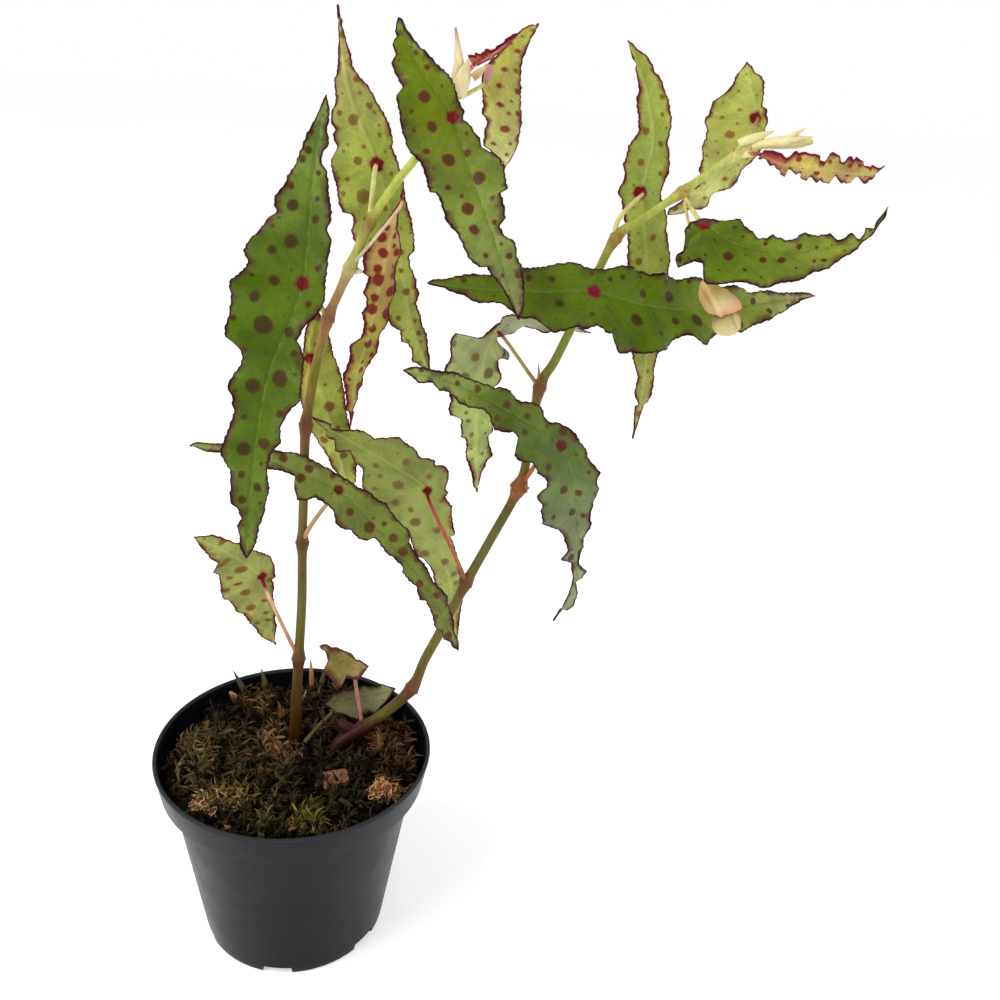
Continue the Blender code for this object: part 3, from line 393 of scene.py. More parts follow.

# one entry for each leaf: rows are places on the rib, x, y, z, with the half-width to the left and right
# there, as in the solid it stands for; "upper" and "under" run from the first tip to the last
# the face colours in "upper" and "under" are the leaf's own colour, with painted sheen in their pale grey-green stops
leaves = {
    "leaf_left_hanging": {
        "rows": (
            (12.5, 3, 362, 0, 0), (8, -8, 338.5, 5.5, 7.5), (4, -14, 300.5, 9, 23),
            (-8, -19, 269, 13, 14), (-14, -23, 235, 6, 9), (-17, -28, 201.5, 0, 0),
        ),
        "stalk": 2, "faces": ((-0.25, -1, 0.05), (-0.25, -1, 0.1), (-0.2, -1, 0)),
        "fold": 12, "waves": 9, "ripple": 2.4,
        "margin": (
            (326, 94), (322, 102), (317, 114), (314, 119), (308, 134), (302, 148), (295, 160), (287, 176), (286, 183),
            (277, 196), (274, 204), (276, 211), (265, 219), (259, 229), (250, 241), (244, 251), (247, 261), (238, 274),
            (231, 281), (230, 297), (228, 312), (226, 329), (227, 338), (235, 343), (240, 348), (243, 355), (240, 364),
            (232, 374), (227, 386), (233, 395), (235, 409), (229, 423), (224, 438), (222, 453), (226, 464), (229, 471),
            (228, 479), (230, 488), (231, 501), (238, 507), (241, 519), (236, 526), (239, 536), (240, 546), (246, 560),
            (248, 558), (255, 545), (259, 534), (260, 525), (264, 517), (265, 502), (270, 490), (270, 481), (268, 471),
            (270, 455), (276, 447), (281, 444), (282, 427), (285, 418), (290, 410), (298, 404), (301, 396), (303, 381),
            (303, 360), (301, 348), (295, 338), (298, 331), (307, 325), (313, 320), (317, 315), (323, 304), (326, 289),
            (328, 274), (328, 254), (331, 238), (327, 229), (332, 223), (333, 212), (328, 197), (328, 182), (327, 170),
            (320, 162), (322, 153), (328, 147), (329, 137), (326, 130), (329, 122), (330, 110),
        ),
        "spots": (
            (290, 241, 7), (271, 250, 5), (275, 280, 5.8), (253, 297, 5.3), (264, 325, 9.5), (289, 333, 5.5), (280, 378, 8.8),
            (252, 386, 7.6), (244, 416, 3.4), (244, 448, 7.2), (264, 443, 6), (241, 475, 4), (258, 487, 4.6), (242, 500, 4.4),
            (292, 206, 6), (316, 220, 4.5), (308, 151, 4), (302, 160, 4), (319, 172, 3), (291, 186, 4), (311, 131, 3.5),
            (273, 225, 2.5), (279, 217, 2.4), (251, 275, 2.6), (308, 305, 3.6), (319, 269, 4), (233, 318, 4), (317, 198, 3),
            (233, 422, 2.5), (244, 350, 3), (234, 391, 2.6), (262, 463, 2), (243, 525, 1.8), (295, 353, 3.5), (295, 375, 2.5),
            (260, 503, 2),
        ),
        "star": (303, 284, 6.5), "upper": ((110, 128, 58), (76, 98, 10), (74, 96, 10), (92, 112, 34)),
        "upperSpot": (64, 48, 14),
    },
    "leaf_left_top": {
        "rows": (
            (35.5, -2, 387.5, 0, 0), (41, -8, 375, 4.5, 8.5), (48, -11, 366, 6, 15),
            (53.5, -14, 358.5, 4.5, 20), (59, -21, 343.5, 11, 17), (64, -29, 329.5, 7, 14),
            (69, -36, 316, 5.5, 8), (75.5, -42, 297.5, 0, 0),
        ),
        "stalk": 3, "faces": ((-0.3, -1, 0.4), (-0.2, -1, 0.45), (0, -1, 0.5)),
        "fold": 12, "waves": 8, "ripple": 2,
        "margin": (
            (398, 16), (396, 23), (395, 30), (397, 37), (393, 42), (394, 49), (396, 57), (391, 62), (392, 67), (397, 76),
            (403, 89), (396, 94), (397, 104), (400, 116), (401, 127), (404, 138), (408, 148), (416, 159), (421, 166),
            (426, 178), (429, 190), (432, 196), (434, 192), (437, 196), (441, 206), (446, 218), (460, 241), (468, 255),
            (479, 268), (486, 267), (489, 274), (502, 287), (507, 297), (511, 306), (517, 318), (522, 312), (525, 306),
            (525, 293), (523, 278), (522, 266), (518, 255), (515, 244), (497, 230), (506, 216), (505, 209), (502, 201),
            (500, 194), (509, 191), (506, 177), (505, 168), (500, 160), (492, 154), (482, 145), (479, 136), (474, 132),
            (471, 127), (468, 123), (462, 120), (465, 111), (459, 99), (454, 85), (448, 74), (440, 65), (431, 57), (421, 48),
            (413, 37), (410, 33), (406, 28), (403, 20),
        ),
        "spots": (
            (423, 96, 6.2), (428, 68, 3.3), (417, 53, 3.1), (431, 127, 5.4), (411, 112, 2.8), (414, 130, 2.4),
            (427, 152, 4.1), (449, 161, 6.8), (468, 153, 3.8), (479, 177, 6.3), (448, 188, 3.8), (468, 208, 6.3),
            (462, 197, 2.6), (493, 199, 3.3), (467, 134, 2.5), (399, 60, 1.3), (412, 47, 1.5), (442, 86, 2), (439, 67, 3),
            (474, 229, 5.5), (495, 222, 3), (486, 256, 3), (509, 256, 3.5), (502, 275, 2.5), (519, 274, 4), (495, 282, 2.5),
            (524, 282, 2.5), (524, 296, 3), (511, 310, 2.5),
        ),
        "star": (453, 118, 6), "upper": ((106, 126, 18), (88, 102, 8), (116, 132, 54), (122, 128, 78)),
        "upperSpot": (86, 42, 26),
    },
    "leaf_left_tall": {
        "rows": (
            (17.5, 38, 391, 0, 0), (19, 33, 374.5, 2, 3), (23, 27, 358, 6.5, 9),
            (31.5, 21, 338.5, 16.5, 8), (37, 19, 321, 16.5, 8), (42, 17, 301, 13, 4.5),
            (46.5, 17, 280, 8, 5), (56, 19, 256.5, 0, 0),
        ),
        "stalk": 3, "faces": ((-0.1, 1, 0.2), (0, 1, 0.25), (0.1, 1, 0.1)),
        "fold": 8, "waves": 9, "ripple": 2,
        "margin": (
            (338, 5), (341, 11), (343, 17), (342, 25), (345, 34), (347, 44), (351, 55), (353, 66), (360, 76), (366, 84),
            (375, 98), (385, 115), (391, 127), (393, 138), (392, 148), (396, 156), (400, 168), (404, 184), (405, 196),
            (407, 204), (412, 220), (414, 236), (415, 251), (409, 255), (410, 265), (416, 279), (417, 289), (420, 294),
            (416, 303), (421, 316), (422, 325), (427, 334), (428, 348), (430, 359), (430, 375), (417, 363), (412, 361),
            (412, 351), (408, 345), (401, 343), (400, 330), (395, 327), (389, 321), (380, 300), (372, 280), (365, 262),
            (357, 244), (353, 239), (351, 230), (354, 221), (351, 214), (343, 212), (339, 204), (336, 187), (333, 173),
            (331, 162), (333, 155), (337, 148), (332, 135), (336, 130), (331, 122), (332, 113), (336, 101), (335, 92),
            (334, 81), (337, 73), (338, 61), (338, 49), (339, 40), (338, 28), (339, 15),
        ),
        "spots": (
            (354, 121, 5.8), (358, 161, 4.6), (363, 197, 7.2), (339, 112, 2.8), (357, 80, 4), (369, 106, 3.5), (374, 113, 2.3),
            (380, 135, 2.4), (379, 125, 2), (363, 147, 2.4), (348, 144, 2.3), (343, 151, 2.4), (348, 178, 3), (386, 153, 2),
            (392, 173, 2.5), (338, 178, 2.5), (343, 194, 3), (360, 92, 2.3), (386, 208, 3), (406, 292, 4.1), (418, 293, 3),
            (401, 271, 3), (401, 252, 3), (398, 319, 2.8), (414, 320, 2.6), (418, 332, 2.8), (408, 341, 2.8), (421, 341, 1.6),
        ),
        "star": (376, 165, 6.4), "under": ((182, 166, 112), (141, 153, 63), (165, 174, 80), (160, 169, 83)),
        "underSpot": (114, 88, 38),
    },
    "leaf_left_young": {
        "rows": (
            (39.5, -2, 333, 0, 0), (38.5, -2, 329, 1.5, 2), (35.5, 0, 316, 4.5, 5),
            (31.5, 1, 296, 6, 7.5), (28.5, 2, 279, 5.5, 6.5), (24.5, 4, 263, 3.5, 5),
            (22.5, 7, 241, 0, 0),
        ),
        "stalk": 1, "faces": ((-0.3, 1, 0.2), (-0.3, 1, 0.2), (-0.3, 1, 0)),
        "fold": 25, "waves": 7, "ripple": 1.2,
        "margin": (
            (403, 196), (398, 207), (394, 219), (391, 224), (397, 229), (401, 236), (400, 251), (397, 265), (396, 279),
            (394, 292), (393, 300), (390, 308), (389, 318), (386, 322), (382, 330), (381, 338), (377, 351), (371, 359),
            (368, 369), (363, 376), (362, 384), (358, 391), (358, 400), (354, 408), (350, 416), (350, 429), (344, 420),
            (346, 402), (345, 389), (343, 376), (346, 364), (351, 354), (349, 348), (353, 343), (362, 337), (368, 324),
            (364, 321), (362, 313), (366, 305), (366, 298), (362, 291), (367, 286), (369, 276), (363, 273), (362, 260),
            (365, 251), (375, 236), (388, 216),
        ),
        "spots": (
            (382, 237, 5.6), (394, 235, 3.8), (387, 227, 3.6), (393, 245, 2.6), (383, 253, 5.2), (396, 252, 4.2),
            (378, 268, 4.5), (379, 279, 6.2), (392, 275, 3.5), (390, 291, 5.9), (374, 298, 4.2), (372, 309, 5.7),
            (385, 313, 5.2), (372, 328, 4.7), (368, 343, 4.8), (352, 361, 2.4), (362, 362, 2.5), (360, 370, 3.8),
            (349, 379, 2.5), (371, 354, 3), (347, 387, 2.4), (358, 386, 3.6), (392, 266, 1.6),
        ),
        "upper": ((150, 160, 60),), "under": ((200, 162, 112), (165, 138, 73), (154, 150, 62), (170, 172, 74)),
        "upperSpot": (112, 8, 10), "underSpot": (116, 0, 2), "young": True, "rim": (88, 16, 24), "rimWide": 0.7, "bend": 0.08,
    },
    "leaf_left_behind": {
        "rows": (
            (9.5, 19, 284.5, 0, 0), (8, 21, 274, 4.5, 5.5), (7.5, 22, 264, 5, 9),
            (13, 25, 246, 9, 8), (18.5, 29, 224, 7, 6), (25, 34, 199, 0, 0),
        ),
        "stalk": 2, "faces": ((0, 1, 0.2), (0, 1, 0.3), (0.2, 1, 0.1)),
        "fold": 8, "waves": 5, "ripple": 1.4,
        "margin": (
            (318, 306), (322, 316), (328, 330), (331, 341), (333, 354), (338, 364), (341, 373), (342, 381), (346, 402),
            (347, 415), (350, 429), (355, 452), (357, 466), (356, 483), (348, 484), (340, 478), (331, 466), (329, 457),
            (320, 447), (315, 438), (308, 425), (301, 406), (299, 390), (300, 372), (303, 350), (305, 330), (311, 314),
        ),
        "spots": (
            (330, 406, 5.6), (324, 440, 4.4), (343, 455, 4), (338, 427, 2.6), (339, 390, 2.2), (325, 385, 2), (332, 466, 2.5),
            (316, 344, 2.4),
        ),
        "star": (310, 359, 5.5), "under": ((174, 172, 70), (155, 168, 72), (184, 190, 100)), "underSpot": (124, 88, 48),
    },
    "leaf_left_long": {
        "rows": (
            (-39.5, 14, 230, 0, 0), (-27, 9, 230, 2, 2), (-8.5, 2, 228.5, 4, 3.5),
            (17.5, -6, 219, 6.5, 8.5), (30.5, -10, 207.5, 7, 7.5), (44.5, -14, 191.5, 6.5, 6),
            (55.5, -18, 177, 5, 5), (66.5, -22, 153.5, 0, 0),
        ),
        "stalk": 3, "faces": ((-0.1, -1, 0.6), (0, -1, 0.6), (0.1, -1, 0.45)),
        "fold": 12, "waves": 10, "ripple": 1.4,
        "margin": (
            (188, 444), (198, 442), (210, 443), (223, 443), (250, 446), (275, 450), (282, 451), (295, 452), (304, 455),
            (312, 460), (329, 468), (343, 477), (359, 487), (369, 491), (377, 499), (387, 504), (393, 513), (399, 521),
            (409, 531), (410, 536), (410, 542), (416, 554), (428, 569), (434, 582), (446, 594), (449, 605), (454, 621),
            (454, 631), (459, 641), (459, 651), (452, 647), (450, 642), (444, 640), (442, 631), (434, 628), (431, 611),
            (426, 601), (420, 600), (417, 594), (416, 586), (409, 581), (402, 572), (403, 562), (399, 556), (389, 556),
            (381, 546), (374, 537), (366, 541), (358, 538), (351, 530), (343, 529), (335, 524), (334, 511), (326, 504),
            (315, 498), (304, 501), (297, 499), (294, 489), (295, 476), (290, 471), (280, 471), (269, 469), (245, 461),
            (221, 453), (206, 452),
        ),
        "spots": (
            (284, 458, 4.5), (310, 469, 4.5), (301, 479, 5), (332, 475, 3), (349, 512, 4.5), (369, 528, 6), (384, 523, 3.2),
            (394, 538, 5), (403, 551, 5), (420, 584, 4), (436, 595, 3.8), (436, 617, 2.5), (417, 560, 3), (374, 518, 1.8),
        ),
        "star": (339, 490, 4.2), "upper": ((112, 128, 62), (116, 128, 58), (100, 112, 42), (106, 116, 58)),
        "upperSpot": (86, 54, 22),
        "starTone": (84, 34, 22),
    },
    "leaf_left_low": {
        "rows": (
            (-37.5, -6, 200, 0, 0), (-25.5, 3, 188, 8.5, 5), (-13, 11, 172, 17, 5),
            (-10.5, 17, 153.5, 12, 3), (-8, 23, 131, 0, 0),
        ),
        "stalk": 2, "faces": ((-0.4, 1, 0.4), (-0.3, 1, 0.35), (-0.1, 1, 0.2)),
        "fold": 10, "waves": 6, "ripple": 1.4,
        "margin": (
            (194, 537), (203, 535), (213, 536), (224, 538), (237, 542), (254, 549), (262, 551), (269, 556), (274, 563),
            (275, 569), (274, 573), (276, 575), (272, 579), (275, 588), (273, 596), (276, 614), (275, 619), (277, 626),
            (275, 636), (275, 644), (269, 643), (266, 639), (261, 636), (255, 628), (250, 626), (247, 618), (242, 612),
            (237, 612), (231, 604), (226, 602), (221, 593), (220, 584), (219, 576), (213, 574), (213, 568), (217, 561),
            (211, 560), (205, 552), (199, 545),
        ),
        "spots": (
            (241, 570, 5), (227, 560, 3.2), (238, 583, 3.6), (246, 592, 4), (250, 607, 3.8), (266, 612, 2.7), (268, 619, 2.7),
            (265, 600, 2.7), (226, 590, 3), (222, 542, 3), (220, 565, 4), (257, 623, 2.5), (230, 577, 2.5),
        ),
        "star": (262, 576, 4), "streak": 1.5, "under": ((148, 157, 80), (151, 155, 86), (165, 173, 94)),
        "underSpot": (122, 88, 46),
    },
    "leaf_left_tip": {
        "rows": (
            (87, 16, 390, 0, 0), (81, 11, 382.5, 3, 2.5), (74, 8, 371, 6, 6.5),
            (74.5, 7, 360, 7, 7), (76, 9, 351, 6, 6), (78, 13, 340.5, 0, 0),
        ),
        "stalk": 2, "faces": ((0.2, 1, 0.3), (0.1, 1, 0.3), (0, 1, 0.2)),
        "fold": 15, "waves": 4, "ripple": 1,
        "margin": (
            (537, 22), (536, 31), (531, 39), (528, 46), (526, 52), (523, 58), (521, 68), (522, 80), (521, 90), (521, 105),
            (522, 117), (520, 131), (518, 148), (514, 157), (506, 166), (490, 150), (483, 145), (484, 132), (488, 122),
            (481, 112), (483, 106), (482, 93), (481, 84), (485, 66), (496, 55), (506, 43), (517, 33), (525, 27),
        ),
        "spots": (
            (518, 51, 2.3), (504, 70, 2.6), (500, 87, 2.5), (518, 91, 2.5), (516, 71, 2.4), (501, 105, 2.6), (508, 113, 1.7),
            (511, 101, 1.4), (492, 63, 2.2), (510, 43, 1.5), (504, 128, 3.5), (509, 143, 1.9), (506, 155, 2.3), (493, 143, 2),
            (518, 115, 3),
        ),
        "upper": ((140, 160, 50),), "under": ((158, 160, 58), (182, 180, 90), (190, 194, 124)), "streak": 1.7,
        "upperSpot": (130, 35, 45), "underSpot": (120, 34, 40), "young": True, "rim": (82, 18, 30), "seat": (67.6, 9, 369),
    },
    "leaf_left_bud": {
        "rows": ((62, 2, 374.5, 1, 3), (65.8, 3, 377, 3, 7), (71.4, 3, 381, 3, 7), (78.2, 4, 386.5, 0, 0)),
        "stalk": 0, "faces": ((-0.2, -0.7, 0.7), (-0.2, -0.7, 0.7), (-0.2, -0.7, 0.7)),
        "fold": 45, "waves": 3, "ripple": 0.5, "tooth": 1.5,
        "margin": (
            (469, 64), (466, 60), (467, 53), (469, 55), (472, 53), (474, 54), (477, 53), (480, 55), (482, 51), (488, 49),
            (490, 50), (493, 50), (496, 47), (503, 42), (508, 37), (515, 33), (520, 32), (509, 45), (500, 54), (488, 63),
            (474, 69),
        ),
        "spots": ((474, 64, 1.8), (480, 61, 1.8), (490, 57, 1.8)),
        "upper": ((182, 112, 92), (178, 84, 86), (160, 48, 68)), "under": ((182, 112, 92), (160, 50, 68)),
        "upperSpot": (130, 18, 38), "underSpot": (130, 18, 38), "young": True, "rim": (122, 14, 40), "rimWide": 1.1,
    },
    "leaf_right_stalked": {
        "rows": (
            (7.5, 18, 241, 0, 0), (26, 15, 230, 7.5, 6), (41.5, 15, 220.5, 16, 10),
            (55.5, 17, 208.5, 19, 11), (61.5, 19, 186.5, 13, 7.5), (68.5, 23, 161, 8, 5),
            (75, 29, 127, 0, 0),
        ),
        "stalk": 3, "faces": ((-0.2, 1, 0.45), (-0.1, 1, 0.4), (0.2, 1, 0.1)),
        "fold": 9, "waves": 8, "ripple": 1.8,
        "margin": (
            (313, 426), (329, 428), (353, 431), (369, 433), (376, 437), (384, 435), (397, 439), (409, 446), (416, 449),
            (420, 454), (437, 463), (434, 468), (443, 467), (450, 473), (447, 482), (445, 486), (448, 491), (445, 495),
            (453, 509), (452, 516), (455, 533), (450, 536), (454, 545), (457, 555), (462, 580), (463, 600), (460, 617),
            (458, 635), (456, 645), (450, 625), (446, 606), (436, 587), (432, 570), (416, 554), (409, 536), (396, 520),
            (380, 510), (366, 500), (362, 485), (363, 468), (355, 466), (349, 452), (336, 449), (335, 440), (326, 437),
            (316, 428),
        ),
        "spots": (
            (399, 485, 6), (407, 462, 4.6), (376, 466, 3.5), (375, 488, 3.6), (395, 502, 4.5), (380, 476, 3), (415, 521, 6),
            (411, 509, 3), (437, 530, 4), (424, 553, 5.2), (445, 562, 4), (454, 574, 3.5), (369, 476, 2), (456, 583, 2.6),
            (398, 454, 1.5),
        ),
        "star": (428, 491, 4), "under": ((142, 153, 67), (138, 147, 78), (160, 169, 94), (160, 170, 90)),
        "underSpot": (125, 104, 66),
    },
    "leaf_right_curved": {
        "rows": (
            (38.5, -28, 275, 0, 0), (56, -24, 269.5, 4, 4.5), (78, -20, 258, 7, 9),
            (102, -17, 242, 8, 16), (110.5, -18, 219.5, 8.5, 17), (113.5, -19, 195.5, 3.5, 7.5),
            (114.5, -17, 179, 2, 2.5), (108.5, -12, 160, 0, 0),
        ),
        "stalk": 3, "faces": ((-0.1, -1, 0.7), (0, -1, 0.5), (0, -1, 0.2)),
        "fold": 12, "waves": 9, "ripple": 1.8,
        "margin": (
            (402, 370), (411, 367), (425, 367), (437, 370), (454, 372), (464, 377), (477, 380), (484, 383), (493, 388),
            (500, 387), (509, 390), (516, 395), (521, 401), (532, 402), (539, 407), (546, 418), (551, 422), (561, 423),
            (570, 429), (579, 441), (587, 449), (590, 459), (600, 472), (595, 479), (598, 487), (598, 498), (590, 515),
            (591, 523), (584, 539), (584, 548), (579, 555), (579, 564), (587, 571), (582, 579), (576, 582), (578, 593),
            (574, 604), (568, 612), (554, 621), (561, 614), (562, 607), (568, 595), (574, 573), (576, 565), (559, 558),
            (567, 550), (568, 542), (559, 531), (550, 527), (541, 523), (541, 511), (544, 508), (537, 498), (545, 487),
            (545, 479), (537, 473), (531, 463), (523, 462), (513, 455), (518, 437), (511, 432), (504, 433), (496, 430),
            (491, 416), (484, 410), (470, 408), (461, 404), (455, 396), (448, 392), (438, 391), (432, 383), (421, 383),
            (411, 376),
        ),
        "spots": (
            (478, 389, 4), (506, 404, 4.6), (527, 416, 3.6), (497, 418, 3.6), (525, 433, 4), (562, 431, 5), (548, 466, 4.2),
            (563, 490, 4.8), (579, 493, 3.8), (571, 512, 4), (583, 516, 2.8), (553, 517, 3), (457, 383, 3), (589, 472, 2.5),
            (576, 454, 2), (595, 493, 3),
        ),
        "star": (561, 446, 5.5), "upper": ((156, 168, 92), (82, 100, 24), (86, 104, 44), (128, 137, 102), (150, 160, 116)),
        "upperSpot": (76, 58, 20),
        "starTone": (86, 32, 22),
    },
    "leaf_right_bent": {
        "rows": (
            (122.5, 26, 276, 0, 0), (101, 15, 282.5, 5, 8), (86, 5, 286, 4, 13),
            (76.5, -2, 283, 6, 14), (72, -4, 271.5, 19, 13), (71.5, -2, 246.5, 10, 9.5),
            (75, 6, 212.5, 0, 0),
        ),
        "stalk": 3, "faces": ((0, 0.5, 0.85), (-0.34, 0.72, 0.6), (-0.32, 0.94, 0.2), (-0.3, 1, 0.1)), "turned": 0.5,
        "fold": 6, "waves": 7, "ripple": 1.6, "marginFrom": 0.41, "bend": 0.1, "rim": (44, 22, 14), "rimWide": 0.55,
        "margin": (
            (461, 326), (454, 331), (448, 341), (449, 350), (450, 362), (447, 368), (446, 382), (448, 395), (449, 409),
            (451, 418), (455, 417), (463, 421), (459, 435), (465, 438), (466, 445), (467, 460), (471, 474), (474, 490),
            (479, 484), (482, 475), (485, 467), (487, 459), (491, 455), (490, 446), (490, 436), (495, 433), (491, 418),
            (491, 400), (494, 386), (499, 382), (500, 376), (498, 369), (500, 361), (505, 359), (507, 353), (502, 344),
            (501, 336), (502, 326), (494, 328), (486, 334), (479, 338), (473, 336), (467, 331),
        ),
        "spots": (
            (453, 344, 4.5), (488, 373, 5.8), (465, 376, 5), (475, 357, 5), (468, 420, 3), (471, 435, 3), (466, 412, 2.4),
            (482, 454, 2), (472, 459, 1.9), (471, 448, 1.8), (485, 433, 2.2),
        ),
        "star": (496, 332, 4), "under": ((158, 164, 112), (155, 160, 118), (160, 172, 102), (166, 182, 104)),
        "underSpot": (112, 98, 56),
    },
    "leaf_right_level": {
        "rows": (
            (47.5, -14, 303, 0, 0), (67, -15, 301.5, 4.5, 5.5), (89, -16, 301.5, 9.5, 11),
            (109, -15, 302, 9.5, 13), (131.5, -10, 296.5, 13.5, 19.5), (157.5, -2, 293.5, 11, 13),
            (186, 8, 294.5, 5, 7.5), (216.5, 18, 296.5, 0, 0),
        ),
        "stalk": 3, "faces": ((-0.1, -1, 0.7), (0, -1, 0.7), (0.1, -1, 0.6)),
        "fold": 10, "waves": 9, "ripple": 1.8,
        "margin": (
            (424, 283), (433, 279), (448, 278), (467, 275), (477, 275), (488, 273), (505, 271), (525, 269), (531, 268),
            (545, 264), (555, 264), (568, 264), (579, 265), (595, 267), (609, 268), (620, 267), (633, 267), (642, 269),
            (649, 274), (668, 275), (679, 278), (694, 278), (703, 281), (722, 286), (732, 287), (744, 288), (749, 291),
            (759, 291), (770, 291), (773, 293), (784, 292), (796, 292), (809, 293), (816, 296), (809, 298), (800, 301),
            (799, 303), (790, 307), (786, 311), (778, 314), (769, 321), (755, 325), (746, 330), (739, 334), (726, 331),
            (718, 334), (713, 338), (708, 345), (700, 344), (695, 342), (690, 337), (684, 336), (676, 339), (669, 349),
            (657, 353), (644, 355), (634, 351), (626, 353), (620, 351), (615, 346), (610, 342), (610, 335), (604, 334),
            (602, 330), (596, 326), (586, 328), (579, 326), (572, 328), (564, 332), (554, 335), (548, 330), (541, 322),
            (533, 317), (522, 317), (509, 311), (502, 305), (486, 303), (472, 300), (467, 296), (459, 294), (449, 292),
            (444, 288), (431, 285),
        ),
        "spots": (
            (552, 279, 3.6), (559, 304, 4.8), (610, 279, 3), (592, 273, 2.5), (528, 278, 4), (614, 330, 2.6), (623, 277, 3),
            (642, 294, 4.6), (669, 297, 6), (637, 319, 7), (675, 321, 4.5), (696, 320, 7), (753, 301, 3.8), (769, 312, 3.8),
            (660, 334, 3), (713, 336, 4), (640, 278, 1.8), (665, 282, 3), (688, 281, 2.5), (631, 342, 2.2), (782, 294, 3),
            (769, 294, 2), (788, 306, 3),
        ),
        "star": (593, 293, 6.4), "upper": ((84, 102, 18), (86, 104, 18), (78, 100, 6), (115, 131, 36), (158, 155, 102)),
        "upperSpot": (68, 50, 14), "starTone": (122, 14, 34),
    },
    "leaf_right_tall": {
        "rows": (
            (125.5, 32, 387.5, 0, 0), (132.5, 25, 371, 2.5, 7), (136, 19, 353.5, 8.5, 7),
            (133, 15, 334.5, 10, 8.5), (137.5, 15, 313, 6, 9.5), (142.5, 17, 288.5, 5.5, 7),
            (146.5, 21, 261, 3.5, 5), (147.5, 27, 228.5, 0, 0),
        ),
        "stalk": 3, "faces": ((0.1, 1, 0.2), (0, 1, 0.2), (0, 1, 0.1)),
        "fold": 8, "waves": 9, "ripple": 1.6,
        "margin": (
            (628, 41), (633, 43), (637, 49), (642, 51), (649, 59), (652, 65), (655, 72), (660, 77), (665, 87), (668, 96),
            (670, 109), (671, 126), (669, 143), (671, 155), (670, 164), (666, 175), (663, 187), (662, 200), (665, 211),
            (667, 225), (669, 240), (669, 260), (668, 290), (664, 320), (658, 350), (656, 365), (652, 390), (646, 413),
            (634, 438), (636, 430), (640, 408), (634, 394), (638, 378), (632, 358), (631, 330), (630, 300), (629, 270),
            (627, 240), (624, 215), (622, 200), (616, 192), (620, 184), (624, 177), (623, 164), (629, 155), (628, 146),
            (632, 140), (638, 132), (639, 119), (637, 108), (636, 99), (639, 91), (637, 77), (635, 69), (637, 64), (632, 58),
            (630, 49),
        ),
        "spots": (
            (662, 97, 3.2), (645, 130, 4), (663, 115, 2.2), (661, 143, 3.4), (641, 163, 3.8), (666, 128, 1.7), (659, 174, 2.4),
            (633, 186, 1.8), (641, 88, 1.8), (637, 136, 3), (652, 69, 3), (638, 96, 2.8), (647, 371, 2.5),
        ),
        "star": (641, 192, 6), "under": ((144, 154, 64), (140, 154, 67), (144, 154, 66), (152, 146, 88)),
        "underSpot": (110, 82, 32),
    },
    "leaf_right_drooping": {
        "rows": (
            (144.5, -4, 310, 0, 0), (145, -9, 319, 4, 7.5), (148.5, -14.5, 327, 3.5, 18),
            (157, -20, 323, 7.5, 17), (168.5, -25, 321, 5, 14), (180.5, -30, 322.5, 7, 10.5),
            (193.5, -34, 326, 3, 4.5), (201, -37, 330, 2, 2), (205.5, -38, 340.5, 0, 0),
        ),
        "stalk": 2, "faces": ((-0.5, -0.6, 0.8), (-0.1, -1, 0.8), (0.1, -1, 0.7)),
        "fold": 14, "waves": 7, "ripple": 1.4,
        "margin": (
            (686, 228), (691, 222), (704, 218), (718, 219), (733, 219), (741, 222), (752, 229), (758, 238), (766, 240),
            (772, 235), (781, 236), (787, 240), (796, 239), (802, 234), (822, 234), (830, 234), (838, 241), (844, 238),
            (852, 232), (859, 240), (864, 234), (866, 227), (874, 229), (876, 222), (883, 214), (888, 207), (886, 217),
            (880, 224), (876, 230), (873, 235), (864, 241), (860, 245), (857, 250), (848, 255), (841, 258), (834, 265),
            (827, 271), (813, 271), (805, 277), (798, 281), (787, 284), (767, 286), (752, 285), (736, 283), (727, 284),
            (717, 282), (709, 282), (704, 278), (704, 271), (702, 263), (695, 261), (691, 263), (683, 268), (674, 270),
            (677, 254), (683, 251), (684, 242), (685, 232),
        ),
        "spots": (
            (728, 257, 5.5), (763, 261, 3.9), (781, 261, 4.4), (745, 271, 2.6), (800, 247, 3), (814, 261, 2.3), (824, 261, 3),
            (797, 269, 1.5), (743, 237, 2), (766, 244, 2.5), (734, 227, 1.8), (705, 255, 2.5), (817, 247, 1.8), (844, 251, 1.6),
            (718, 269, 1.6),
        ),
        "star": (705, 226, 4.5), "upper": ((86, 94, 16), (84, 106, 8), (116, 130, 40), (126, 138, 48)),
        "upperSpot": (72, 38, 12),
        "starTone": (112, 12, 12),
    },
    "leaf_right_back": {
        "rows": (
            (173, 28, 383.5, 0, 0), (173.5, 21, 374, 11, 5), (175, 16, 364, 18, 5),
            (171.5, 19, 350.5, 16, 7), (164.5, 23, 338.5, 9, 6), (158.5, 28, 330.5, 4, 4),
            (151, 32, 324.5, 0, 0),
        ),
        "stalk": 2, "faces": ((0.2, 1, 0.3), (0.1, 1, 0.35), (-0.2, 1, 0.4)),
        "fold": 8, "waves": 5, "ripple": 1.4, "widest": 2.6, "taper": 1.25,
        "margin": (
            (747, 62), (752, 67), (755, 73), (762, 77), (765, 82), (764, 92), (763, 103), (762, 107), (767, 109), (766, 115),
            (769, 119), (767, 129), (763, 145), (755, 157), (749, 166), (741, 174), (730, 187), (720, 192), (712, 197),
            (707, 204), (699, 208), (688, 210), (682, 215), (669, 217), (666, 213), (669, 208), (681, 201), (691, 191),
            (696, 188), (701, 175), (697, 172), (704, 157), (703, 150), (703, 140), (707, 130), (705, 121), (708, 117),
            (710, 108), (713, 100), (718, 100), (725, 94), (733, 86), (735, 77), (742, 68),
        ),
        "spots": (
            (739, 93, 1.7), (740, 111, 2.3), (722, 117, 2), (729, 134, 3.7), (736, 124, 1.6), (757, 95, 1.8), (724, 102, 1.4),
